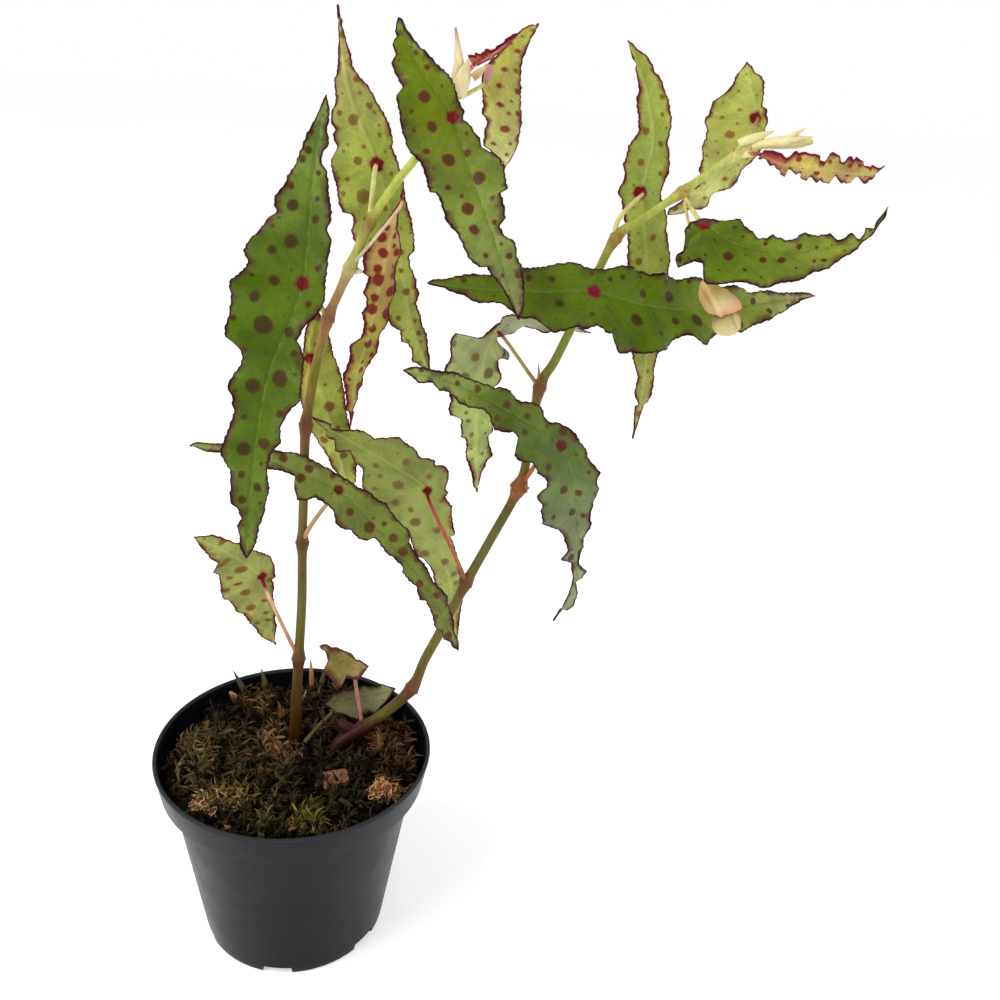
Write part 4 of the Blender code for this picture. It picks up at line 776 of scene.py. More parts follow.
            (718, 152, 1.7), (715, 142, 1.4), (725, 178, 2.5), (729, 170, 1.3), (740, 172, 1.7), (705, 198, 2.2),
        ),
        "star": (756, 119, 5.5), "under": ((158, 166, 76), (162, 166, 80), (200, 202, 128)), "underSpot": (132, 90, 46),
        "streak": 1.4,
    },
    "leaf_right_ruffled": {
        "rows": (
            (170.8, -3.2, 352.4, 1.5, 1.5), (178, -5.5, 350, 4.5, 3), (188, -9, 350, 7, 4.5),
            (201.5, -14, 349, 6.5, 4.5), (208.5, -17, 349.5, 4.5, 3), (213, -18, 352.5, 0, 0),
        ),
        "stalk": 0, "faces": ((0, 0.8, 0.5), (0, 0.8, 0.5), (0, 0.8, 0.5)),
        "fold": 20, "waves": 5, "ripple": 1.6, "step": 0.35, "tooth": 0.1,
        "margin": (
            (756, 158), (759, 155), (757, 151), (761, 153), (765, 149), (769, 150), (773, 151), (777, 153), (782, 153),
            (786, 157), (790, 156), (794, 152), (797, 152), (799, 154), (806, 152), (810, 153), (815, 152), (819, 154),
            (821, 157), (820, 160), (823, 164), (827, 160), (830, 155), (833, 153), (840, 153), (841, 160), (844, 162),
            (846, 161), (848, 158), (852, 159), (853, 161), (855, 161), (856, 158), (863, 158), (864, 164), (871, 168),
            (872, 166), (878, 166), (876, 172), (880, 170), (882, 166), (886, 168), (883, 172), (878, 175), (872, 179),
            (869, 178), (865, 183), (860, 180), (857, 176), (854, 181), (850, 186), (846, 184), (844, 180), (842, 181),
            (839, 179), (836, 176), (834, 177), (831, 183), (828, 187), (823, 186), (821, 183), (820, 179), (817, 181),
            (815, 179), (812, 176), (809, 177), (807, 181), (805, 184), (802, 182), (800, 179), (801, 175), (799, 173),
            (796, 174), (793, 171), (790, 168), (788, 169), (787, 174), (786, 178), (782, 178), (780, 175), (780, 172),
            (776, 170), (774, 165), (770, 166), (766, 159), (763, 158), (760, 160),
        ),
        "spots": (
            (799, 159, 3), (817, 173, 3.3), (830, 162, 2.4), (850, 165, 2.5), (860, 165, 2.5), (847, 175, 1.8), (866, 176, 1.5),
            (829, 175, 1.2),
        ),
        "upper": ((200, 190, 90), (190, 185, 80)),
        "under": (
            (116, 16, 34), (166, 80, 70), (184, 162, 86), (196, 174, 92), (168, 152, 78), (160, 132, 82), (184, 160, 94),
            (184, 150, 90),
        ),
        "upperSpot": (112, 8, 12), "underSpot": (120, 8, 12), "young": True, "rim": (106, 20, 34), "rimWide": 0.7,
    },
    "leaf_soil_small": {
        "rows": (
            (11, 16, 134, 0, 0), (19.3, 17, 126, 4, 8), (26.6, 18, 120.5, 4.5, 6), (33.5, 19, 120, 0, 0),
        ),
        "stalk": 2, "faces": ((-0.1, -0.8, 0.7), (-0.1, -0.8, 0.7), (-0.1, -0.8, 0.7)),
        "fold": 12, "waves": 3, "ripple": 0.9, "step": 0.35, "tooth": 0.2, "taper": 2, "widest": 3, "seat": (28.0, 17.5, 118.8),
        "margin": (
            (319, 645), (327, 644), (331, 647), (337, 647), (343, 650), (351, 653), (356, 659), (360, 660), (369, 666),
            (364, 673), (360, 679), (357, 680), (351, 679), (345, 677), (344, 682), (342, 688), (337, 686), (333, 682),
            (328, 676), (320, 671), (318, 666), (322, 661), (326, 657), (330, 658), (325, 651), (321, 649),
        ),
        "spots": ((352, 668, 3), (330, 663, 2), (341, 659, 1.8)),
        "upper": ((136, 134, 66), (144, 132, 60), (142, 132, 66), (180, 138, 112)), "under": ((165, 150, 80),),
        "upperSpot": (152, 132, 84), "underSpot": (144, 110, 76), "young": True, "rim": (92, 40, 42), "rimWide": 0.8,
    },
    "leaf_soil_low": {
        "rows": (
            (13, 24, 97, 0, 0), (21, 25, 96.5, 5.5, 6), (31, 26, 97.5, 7, 6),
            (41, 26, 100, 6, 5), (47, 27, 102, 0, 0),
        ),
        "stalk": 1, "faces": ((-0.1, -0.6, 0.9), (-0.1, -0.6, 0.9), (-0.1, -0.6, 0.9)),
        "fold": 14, "waves": 4, "ripple": 0.9,
        "margin": (
            (322, 702), (329, 696), (341, 691), (353, 688), (364, 686), (380, 686), (383, 681), (389, 681), (390, 676),
            (393, 682), (396, 690), (386, 711), (377, 715), (362, 715), (353, 723), (347, 721), (337, 716), (327, 713),
            (324, 706),
        ),
        "spots": (),
        "upper": ((90, 94, 44), (108, 106, 72), (148, 155, 104)), "under": ((165, 160, 105),), "upperSpot": (112, 104, 76),
    },
}
bladeDetail = {
    "stationStep": 0.75, "columnStep": 0.8, "thick": 0.55, "lobe": 0.1, "toothStep": 2.7, "tooth": 0.5, "rimWide": 0.46,
    "crinkle": 0.42, "crinkleStep": 7.5, "ribDepth": 0.42, "ribWide": 0.8, "veinRise": 0.3, "veinWide": 1.3, "tip": 0.14,
    "slack": 2.5, "fanDeg": 24,
}
fillerSpots = {"tries": 120, "wide": (0.35, 0.7), "lonelyWide": (0.9, 1.9), "lonely": 8.5, "apart": (2.4, 5.5)}


def smoothCurve(rows, stations, exact=0):  # Catmull-Rom through the rows, one station on the exact row
    rows = np.array(rows, float)
    rows = np.vstack([2 * rows[0] - rows[1], rows, 2 * rows[-1] - rows[-2]])
    dense, marks = [], []
    for first in range(len(rows) - 3):
        a, b, c, d = rows[first : first + 4]
        marks.append(len(dense))
        for share in np.linspace(0, 1, 60, endpoint=False):
            cubic = (-a + 3 * b - 3 * c + d) * share**3 + (2 * a - 5 * b + 4 * c - d) * share**2
            dense.append(0.5 * (cubic + (c - a) * share + 2 * b))
    marks.append(len(dense))
    dense = np.array(dense + [rows[-2]])
    length = runLength(dense[:, :3])
    middle = length[marks[exact]]
    before = round((stations - 1) * middle / length[-1])
    steps = np.linspace(middle, length[-1], stations - before)
    if before:
        steps = np.concatenate([np.linspace(0, middle, before, endpoint=False), steps])
    return np.column_stack([np.interp(steps, length, column) for column in dense.T]), before


def ribFrame(leaf, stations):
    curve, stalk = smoothCurve(np.array(leaf["rows"], float) * mm, stations, leaf["stalk"])
    rib = curve[:, :3]
    ahead = np.gradient(rib, axis=0)
    ahead /= np.linalg.norm(ahead, axis=1)[:, None]
    faces = np.array(leaf["faces"], float)
    turns = [-1e-6, stalk, stations - 1]
    if "turned" in leaf:
        turns.insert(2, leaf["turned"] * stations)
    up = np.column_stack([np.interp(np.arange(stations), turns, column) for column in faces.T])
    up -= ahead * (up * ahead).sum(axis=1)[:, None]
    up /= np.linalg.norm(up, axis=1)[:, None]
    return rib, np.maximum(curve[:, 3:], 0.5 * mm), ahead, up, np.cross(up, ahead), stalk


def marginReach(leaf, rib, way, plain):  # how far the photo's margin lies from the rib on this side
    start, _ = inPhoto(rib)
    along = inPhoto(rib + way * plain[:, None])[0] - start
    corners = np.array(leaf["margin"], float)
    edge = np.roll(corners, -1, axis=0) - corners
    offset = corners[None] - start[:, None]
    crossed = along[:, None, 0] * edge[None, :, 1] - along[:, None, 1] * edge[None, :, 0]
    crossed = np.where(np.abs(crossed) < 1e-9, 1e-9, crossed)
    reach = (offset[..., 0] * edge[None, :, 1] - offset[..., 1] * edge[None, :, 0]) / crossed
    edgeShare = (offset[..., 0] * along[:, None, 1] - offset[..., 1] * along[:, None, 0]) / crossed
    met = (edgeShare >= 0) & (edgeShare < 1) & (reach > 0)
    nearest = np.where(met, reach, np.inf).min(axis=1)
    good = (met.sum(axis=1) % 2 == 1) & np.isfinite(nearest)
    good &= np.linspace(0, 1, len(rib)) >= leaf.get("marginFrom", 0)
    ratio = np.ones(len(rib))
    if good.any():
        known = np.arange(len(rib))[good]
        ratio = np.interp(np.arange(len(rib)), known, nearest[good], left=1, right=1)
    found = ratio * plain
    slack = bladeDetail["slack"] * mm
    low = np.maximum(np.minimum(0.5 * plain, plain - slack), 0.12 * mm)
    high = np.maximum(leaf.get("widest", 1.6) * plain, plain + slack)
    return np.clip(found, low, high)


def veinDistance(along, across, spacing, side):  # mm to the nearest lateral vein
    leaned = np.abs(along) - across - 0.012 * across**2
    count = leaned / spacing + 0.5 * side
    slanting = np.abs(count - np.round(count)) * spacing * 0.68
    turn, step = np.arctan2(across, np.abs(along)), math.radians(bladeDetail["fanDeg"])
    fan = np.round((turn - math.radians(90)) / step) * step + math.radians(90)
    fanned = np.hypot(along, across) * np.abs(np.sin(turn - fan))
    return np.where(leaned > 0.25 * spacing, slanting, fanned)


def strongTone(stops, share):  # linear colours along the blade
    stops = np.array([seen(stop) for stop in stops])
    marks = np.linspace(0, 1, len(stops))
    return np.column_stack([np.interp(share, marks, column) for column in stops.T])


def spotPlaces(leaf, places, share, across, seed):  # middles and radii in metres, photo spots first
    flat, depth = inPhoto(places)
    usable = share >= leaf.get("marginFrom", 0)
    middles, radii = [], []
    for x, y, radius in leaf["spots"]:
        away = np.where(usable, np.hypot(flat[:, 0] - x, flat[:, 1] - y), 1e9)
        nearest = int(np.argmin(away))
        middles.append(places[nearest])
        radii.append(radius * 1.04 * depth[nearest] / cameraSetup["pixelsPerUnit"])
    random = np.random.default_rng(500 + seed)
    for _ in range(fillerSpots["tries"]):
        pickAt = int(random.integers(len(places)))
        if abs(across[pickAt]) > 0.86 or abs(across[pickAt]) < 0.08 or not 0.04 < share[pickAt] < 0.96:
            continue
        gap = 6 * mm
        if middles:
            gap = min(np.linalg.norm(np.array(middles) - places[pickAt], axis=1) - np.array(radii))
        wanted = random.uniform(*fillerSpots["wide"]) * mm
        if gap > fillerSpots["lonely"] * mm:
            wanted = random.uniform(*fillerSpots["lonelyWide"]) * mm
        if gap > wanted + random.uniform(*fillerSpots["apart"]) * mm:
            middles.append(places[pickAt])
            radii.append(wanted)
    return np.array(middles), np.array(radii)


def starReach(leaf, places, veinAway, left, ahead, seed):  # mm inside the star, with rays along the veins
    if "star" not in leaf:
        return np.full(len(places), -9.0)
    x, y, radius = leaf["star"]
    flat, depth = inPhoto(places)
    nearest = int(np.argmin(np.hypot(flat[:, 0] - x, flat[:, 1] - y)))
    radius = 1.1 * radius * depth[nearest]
    offset = places - places[nearest]
    away = np.linalg.norm(offset, axis=1) / mm
    turn = np.arctan2(offset @ left, offset @ ahead)
    reach = radius * (0.9 + 0.07 * np.cos(5 * turn + seed) + 0.06 * np.cos(11 * turn)) - away
    return reach + 0.8 * np.exp(-((veinAway / 0.4) ** 2) - away / radius / 1.2)


def paintBlade(blade, leaf, share):
    # face colours along the blade, with painted sheen where they turn pale grey-green
    storeColours(blade, "upperToneAndSheen", strongTone(leaf.get("upper", (oldUpper,)), share))
    storeColours(blade, "underToneAndSheen", strongTone(leaf.get("under", (oldUnder,)), share))
    paintWhole(blade, "upperSpot", leaf.get("upperSpot", oldSpot))
    paintWhole(blade, "underSpot", leaf.get("underSpot", oldUnderSpot))
    paintWhole(blade, "upperRim", leaf.get("rim", oldRim))
    paintWhole(blade, "underRim", leaf.get("rim", oldUnderRim))
    paintWhole(blade, "starTone", leaf.get("starTone", oldStar))
    blade.data.materials.append(skins["upper"])
    blade.data.materials.append(skins["under"])


def thicken(blade, edgeField):  # thinner towards the margin
    thick = blade.vertex_groups.new(name="thick")
    weights = 0.35 + 0.65 * np.clip(edgeField / 2.5, 0, 1)
    for level in range(8):  # few groups of equal weight are quicker to store
        inBand = np.nonzero(np.rint(weights * 8).astype(int) == level + 1)[0]
        thick.add([int(index) for index in inBand], (level + 1) / 8, "REPLACE")
    applyModifier(
        blade, "SOLIDIFY", thickness=bladeDetail["thick"] * mm, offset=0, vertex_group="thick",
        material_offset=1, material_offset_rim=0,
    )


def makeBlade(name, leaf, seed):
    rows = np.array(leaf["rows"], float)
    length = routeLength(rows)
    stations = int(min(250, max(28, length / leaf.get("step", bladeDetail["stationStep"]))))
    rib, widths, ahead, up, left, stalk = ribFrame(leaf, stations)
    arc = runLength(rib) / mm
    share = np.linspace(0, 1, stations)
    fold, taper = math.radians(leaf["fold"]), leaf.get("taper", 0.8)
    halves, turns = [], []
    for side, sign in ((0, 1), (1, -1)):
        turn = 2 * math.pi * (leaf["waves"] * share + 0.37 * side + 0.21 * seed)
        plain = widths[:, side] * (1 + bladeDetail["lobe"] * np.cos(turn))
        half = marginReach(leaf, rib, left * sign * math.cos(fold) + up * math.sin(fold), plain)
        phase = arc / bladeDetail["toothStep"] + 0.7 * np.sin(arc / 5.3 + seed + side) + 0.31 * seed
        tooth = leaf.get("tooth", bladeDetail["tooth"]) * mm
        half = half + tooth * ((1 - phase % 1) ** 1.5 - 0.4) * np.minimum(1, half / (4 * mm))
        if rows[0, 3] == 0:
            half = np.minimum(half, (bladeDetail["tip"] + taper * arc) * mm)
        half = np.minimum(half, (bladeDetail["tip"] + taper * (arc[-1] - arc)) * mm)
        halves.append(half)
        turns.append(turn)
    halves, turns = np.array(halves), np.array(turns)
    columns = int(min(26, max(7, halves.max() / mm / bladeDetail["columnStep"])))
    blade = added(bpy.ops.mesh.primitive_grid_add, x_subdivisions=2 * columns, y_subdivisions=stations - 1, size=2)
    blade.name = blade.data.name = name.replace("leaf_", "blade_")
    grid = placesOf(blade)
    at = np.rint((grid[:, 1] + 1) / 2 * (stations - 1)).astype(int)
    across = -grid[:, 0]
    side = np.where(across > 0, 0, 1)
    half, turn = halves[side, at], turns[side, at]
    reach = np.abs(across) * half
    reachMm = reach / mm
    along = arc[at] - arc[stalk]
    spacing = float(np.clip(length / 13, 5, 10))
    veinAway = veinDistance(along, reachMm, spacing, side)
    fade = np.clip((half / mm - 1.2) / 3, 0, 1) * np.clip((1 - np.abs(across)) * 4, 0, 1)
    rise = leaf["ripple"] * mm * np.minimum(1, half / (7 * mm)) * across**2 * np.sin(turn)
    crinkle = np.sin(2 * math.pi * arc[at] / bladeDetail["crinkleStep"] + 2 * side + seed)
    rise += bladeDetail["crinkle"] * mm * np.minimum(1, half / (6 * mm)) * across**4 * crinkle
    groove = np.exp(-((reachMm / bladeDetail["ribWide"]) ** 2))
    rise -= bladeDetail["ribDepth"] * mm * groove * np.clip(half / (3 * mm), 0.2, 1)
    rise += bladeDetail["veinRise"] * mm * (1 - np.exp(-((veinAway / bladeDetail["veinWide"]) ** 2))) * fade
    outward = left[at] * (np.sign(across) * reach * math.cos(fold))[:, None]
    places = rib[at] + outward + up[at] * (reach * math.sin(fold) + rise)[:, None]
    movePlaces(blade, places)

    middles, radii = spotPlaces(leaf, places, share[at], across, seed)
    offset = places[:, None] - middles[None]
    streak = (1 - 1 / leaf.get("streak", 1) ** 2) * (offset @ left[stalk]) ** 2
    spotField = (radii[None] - np.sqrt((offset**2).sum(axis=2) - streak)).max(axis=1) / mm
    edgeField = (half - reach) / mm
    starField = starReach(leaf, places, veinAway, left[stalk], ahead[stalk], seed)
    rimWide = leaf.get("rimWide", bladeDetail["rimWide"]) * np.ones(len(places))
    storeVectors(blade, "marks", np.column_stack([spotField, edgeField, starField]))
    storeVectors(blade, "lines", np.column_stack([reachMm, veinAway, rimWide]))
    paintBlade(blade, leaf, share[at])
    thicken(blade, edgeField)
    smoothShade(blade, 60)
    settle(blade, "young_leaf" if leaf.get("young") else "leaf", name)


# canes, their leaf stalks and scales
caneSetup = {
    "left": {
        "route": (
            (-1.8, 14, 60, 2.6), (-0.4, 12, 84, 2.6), (0.8, 11, 108, 2.4), (2, 10, 132, 2.1), (3.5, 10, 161, 2.0),
            (3.8, 9, 189, 1.9), (4.6, 8, 218, 1.9), (5.4, 8, 241, 1.9), (9, 7, 264, 1.8), (13.6, 6, 284, 1.7),
            (17.8, 5, 295, 1.7), (21.4, 5, 303.5, 1.7), (28, 4, 320, 1.6), (37, 3, 334.5, 1.5), (43, 2, 342.5, 1.4),
            (50.4, 1, 354, 1.3), (57.6, 0, 366, 1.2),
        ),
        # colours by height in mm: darker towards the soil, the base's own red-brown together with painted shade low on
        # the cane
        "tones": (
            (60, (40, 20, 6)), (84, (50, 21, 2)), (100, (68, 48, 8)), (125, (84, 64, 22)), (150, (102, 94, 36)),
            (180, (94, 80, 38)), (215, (110, 98, 44)), (240, (114, 78, 53)), (262, (114, 109, 6)), (283, (160, 122, 80)),
            (300, (174, 146, 98)), (306, (190, 184, 104)), (330, (182, 192, 80)), (366, (166, 166, 84)),
        ),
        "joints": (
            ((2, 10, 132), (-0.5, -0.6, 0.8), (88, 36, 34), 2.2, 1), ((3.8, 9, 189), (0.5, -0.6, 0.8), (90, 34, 28), 2.6, 1),
            ((5.4, 8, 241), (-0.5, -0.5, 0.8), (96, 40, 32), 2.6, 1),
            ((13.6, 6, 284), (-0.2, -0.9, 0.5), (128, 66, 48), 2.4, 1.1),
            ((21.4, 5, 303.5), (0.9, -0.5, -0.15), (214, 206, 176), 4.4, 1.5),
            ((28, 4, 320), (-0.7, -0.4, 0.7), (128, 80, 36), 2.6, 1.1),
            ((50.4, 1, 354), (-0.6, 0.3, 0.8), (172, 158, 76), 2.8, 1),
        ),
    },
    "right": {
        "route": (
            (9, 0, 60, 3.0), (13.6, 2, 75, 3.0), (17.6, 4, 86.5, 2.9), (22.6, 5, 91.6, 2.8), (30, 7, 95, 2.7),
            (40.7, 8, 102.6, 2.5), (52, 8, 115, 2.4), (57.3, 8, 130, 2.2), (63.4, 8, 144, 2.2), (73.3, 7, 169, 2.1),
            (82.2, 6, 190, 2.0), (92.5, 5, 215, 2.0), (95, 5, 232, 1.9), (97, 4, 259, 1.9), (102.5, 4, 271, 1.8),
            (111.4, 3, 295, 1.7), (120.5, 2, 319, 1.6), (132.7, 2, 328.5, 1.5), (143.8, 1, 337, 1.5),
            (153.6, 1, 345, 1.3), (162, 0, 351.2, 1.2), (167.4, 0, 354, 1.1),
        ),
        # colours by height in mm: darker towards the soil, the base's own red-brown together with painted shade low on
        # the cane
        "tones": (
            (60, (34, 8, 6)), (90, (40, 12, 8)), (97, (60, 21, 5)), (103, (92, 86, 20)), (112, (82, 65, 36)),
            (122, (92, 83, 34)), (140, (104, 100, 37)), (165, (96, 86, 33)), (190, (92, 94, 41)), (214, (88, 73, 26)),
            (235, (98, 106, 42)), (258, (107, 98, 45)), (290, (136, 150, 54)), (318, (149, 152, 60)),
            (340, (172, 190, 88)), (356, (162, 164, 78)),
        ),
        "joints": (
            ((30, 7, 95), (-0.4, -0.5, 0.8), (62, 18, 26), 2.4, 1), ((52, 8, 115), (0.6, -0.5, -0.3), (124, 46, 44), 2.6, 1.1),
            ((73.3, 7, 169), (-0.2, -0.3, 0.9), (104, 42, 34), 6, 0.7),
            ((92.5, 5, 215), (0.7, -0.7, 0.4), (150, 82, 46), 4.8, 1.9),
            ((92.5, 5, 215), (-0.9, -0.6, -0.1), (156, 88, 50), 4.4, 1.7),
            ((97, 4, 259), (-0.2, -0.3, 0.93), (128, 54, 38), 11, 0.75),
            ((111.4, 3, 295), (0.6, 0.6, 0.6), (130, 96, 48), 2.6, 1),
            ((120.5, 2, 319), (0.5, -0.6, 0.8), (140, 88, 42), 2.4, 1),
            ((143.8, 1, 337), (0.3, -0.8, 0.5), (170, 112, 60), 1.9, 1.2),
            ((162, 0, 351.2), (-0.5, -0.2, 0.9), (196, 186, 116), 2, 1),
        ),
    },
    "ringStep": 1.1, "swelling": 0.9, "swellingLength": 3.6, "scarRise": 0.28, "scarWide": 0.55,
    "stain": 0.9, "freshStain": 0.15, "stainLength": 4.4, "stubTone": (60, 28, 26),
    "paper": (186, 150, 104), "tip": (150, 96, 58), "freshTip": (226, 214, 176),
    "cutStub": ((27, 7, 94, 2.3), (24.4, 8, 94.9, 2.4), (21.6, 9.2, 95.8, 2.35), (19.5, 10, 96.5, 2.2)),
}

# stalks: where each grows, the way it leaves and its colours from cane to blade
stalks = {
    "leaf_left_hanging": ((13.6, 6, 284), (-0.5, 0.1, 0.8), ((176, 160, 90), (196, 190, 120)), 1),
    "leaf_left_top": ((50.4, 1, 354), (0.2, -0.5, 0.6), ((186, 190, 96), (200, 190, 110)), 1),
    "leaf_left_tall": ((28, 4, 320), (0.1, 0.2, 1), ((206, 204, 124), (216, 216, 140)), 0.95),
    "leaf_left_young": ((21.4, 5, 303.5), (0.5, -0.45, 0.75), ((214, 200, 150), (212, 184, 156), (200, 156, 136)), 0.6),
    "leaf_left_behind": ((5.4, 8, 241), (0, 0.6, 0.8), ((150, 110, 70), (180, 160, 90)), 1),
    "leaf_left_long": ((3.8, 9, 189), (0.2, -0.4, 0.9), ((176, 130, 92), (186, 156, 104)), 0.95),
    "leaf_left_low": ((2, 10, 132), (-0.35, 0, 0.9), ((192, 118, 98), (210, 160, 124), (216, 190, 146)), 0.85),
    "leaf_left_tip": ((56.6, 0.3, 364), (0.9, 0.1, 0.3), ((190, 196, 96), (200, 190, 108)), 0.72),
    "leaf_left_bud": ((56.6, 0.2, 364.4), (0.7, 0.7, 0.5), ((216, 184, 146), (206, 130, 110)), 0.9),
    "leaf_right_stalked": ((73.3, 7, 169), (-0.3, -0.1, 0.9), ((168, 100, 72), (176, 70, 62)), 0.82),
    "leaf_right_curved": ((92.5, 5, 215), (0.4, -0.3, 0.8), ((170, 84, 48), (176, 112, 66)), 0.95),
    "leaf_right_bent": ((97, 4, 259), (-0.62, -0.1, 0.7), ((150, 92, 58), (168, 146, 90), (168, 144, 88), (150, 60, 44)), 0.76),
    "leaf_right_level": ((111.4, 3, 295), (-0.1, -0.7, 0.5), ((170, 156, 78), (176, 160, 88)), 1),
    "leaf_right_tall": ((120.5, 2, 319), (-0.45, 0.2, 1), ((200, 196, 120), (204, 184, 120)), 0.86),
    "leaf_right_drooping": ((143.8, 1, 337), (0.5, -0.3, -0.8), ((200, 196, 112), (202, 184, 104)), 0.85),
    "leaf_right_back": ((162, 0, 351.2), (0.5, 0.4, 0.7), ((196, 202, 120), (178, 184, 96), (150, 110, 60), (124, 22, 28)), 0.75),
    "leaf_right_ruffled": ((165, 0, 352.8), (0.4, -0.6, -0.3), ((214, 200, 150), (176, 90, 84), (116, 16, 34)), 0.8),
    "leaf_soil_small": ((30, 7, 95), (0, 0.9, 0.6), ((150, 70, 62), (184, 140, 120), (196, 160, 136)), 0.9),
    "leaf_soil_low": ((4.4, 9, 87), (0.5, 0.6, 0.5), ((104, 84, 52), (116, 108, 66)), 0.95),
}
stalkSetup = {
    "radius": 0.95, "rings": 26, "lowRoot": ((2.6, 6, 64), (4.4, 9, 87)), "seatDepth": 0.85,
    "endTone": (124, 22, 28), "endFrom": 0.79, "endOver": 0.08,
}


def makeTube(name, places, radii, roundness):  # a round tube through the places, closed at both ends
    tube = added(bpy.ops.curve.primitive_nurbs_path_add, location=(0, 0, 0))
    tube.name = name
    route = tube.data
    route.splines.clear()
    line = route.splines.new("POLY")
    line.points.add(len(places) - 1)
    line.points.foreach_set("co", np.column_stack([places, np.ones(len(places))]).ravel())
    line.points.foreach_set("radius", np.asarray(radii, float))
    route.dimensions = "3D"
    route.bevel_depth = 1
    route.bevel_resolution = roundness
    route.use_fill_caps = True
    bpy.ops.object.convert(target="MESH")
    tube = bpy.context.object
    tube.data.materials.clear()
    return tube


def nearestOn(places, route):  # the number of the nearest route point, and how far it is
    away = np.linalg.norm(places[:, None] - route[None], axis=2)
    return away.argmin(axis=1), away.min(axis=1)


def stalkRoute(leaf, start, way):
    stations = max(9, min(27, int(routeLength(np.array(leaf["rows"], float)) / 6)))
    rib, _, ahead, up, _, stalk = ribFrame(leaf, stations)
    seat, seatWay = rib[stalk] - up[stalk] * stalkSetup["seatDepth"] * mm, up[stalk]
    if stalk == 0:
        seat, seatWay = rib[0] - ahead[0] * 0.1 * mm, ahead[0]
    if "seat" in leaf:
        seat = np.array(leaf["seat"]) * mm
    start = np.array(start) * mm
    span = np.linalg.norm(seat - start)
    bend = leaf.get("bend", 0.3)
    first, second = start + unit(way) * span * 0.38, seat - seatWay * span * bend
    share = np.linspace(0, 1, stalkSetup["rings"])[:, None]
    rest = 1 - share
    places = start * rest**3 + first * 3 * rest**2 * share + second * 3 * rest * share**2 + seat * share**3
    radii = stalkSetup["radius"] * mm * (1.15 - 0.25 * share[:, 0])
    radii *= 1 + 0.22 * np.exp(-((share[:, 0] / 0.06) ** 2)) + 0.16 * np.exp(-(((1 - share[:, 0]) / 0.05) ** 2))
    return places, radii


def makeStalk(name, lowRoot=None):
    start, way, colours, slim = stalks[name]
    places, radii = stalkRoute(leaves[name], start, way)
    radii = radii * slim
    if lowRoot:
        under = np.linspace(np.array(lowRoot[0]) * mm, np.array(lowRoot[1]) * mm, 14)[:-1]
        places = np.vstack([under, places])
        radii = np.concatenate([np.full(len(under), radii[0]), radii])
    tube = makeTube(name + "Stalk", places, radii, 3)
    nearest, _ = nearestOn(placesOf(tube), places)
    share = nearest / (len(places) - 1)
    red = np.clip((share - stalkSetup["endFrom"]) / stalkSetup["endOver"], 0, 1)[:, None] * ("star" in leaves[name])
    storeColours(tube, "tone", strongTone(colours, share) * (1 - red) + np.array(seen(stalkSetup["endTone"])) * red)
    tube.data.materials.append(skins["cane"])
    return tube


def makeScale(name, place, way, length, wide, colour, tip, skin="papery"):  # thin, pointed and cupped
    scale = added(bpy.ops.mesh.primitive_grid_add, x_subdivisions=8, y_subdivisions=14, size=2)
    scale.name = name
    grid = placesOf(scale)
    share = (grid[:, 1] + 1) / 2
    ahead = unit(way)
    side = unit(np.cross(ahead, (0.21, -0.93, 0.3)))
    up = np.cross(side, ahead)
    half = wide * (0.75 + 0.5 * np.sin(share * math.pi * 0.6)) * (1 - share**2.2) + 0.08
    turn = grid[:, 0] * (1.25 - 0.6 * share)
    bulge = half / 1.1
    rise = bulge * (1 - np.cos(turn)) - 0.5 * np.sin(share * 2.4) * wide
    places = np.array(place) + ahead * (share * length)[:, None] - side * (bulge * np.sin(turn))[:, None]
    movePlaces(scale, (places - up * rise[:, None]) * mm)
    base, end = np.array(seen(colour)), np.array(seen(tip))
    storeColours(scale, "tone", base + (end - base) * share[:, None])
    applyModifier(scale, "SOLIDIFY", thickness=0.22 * mm, offset=0)
    scale.data.materials.append(skins[skin])
    return scale


def isFresh(jointColour):  # a cream joint instead of a dry brown one
    return jointColour[0] > 200


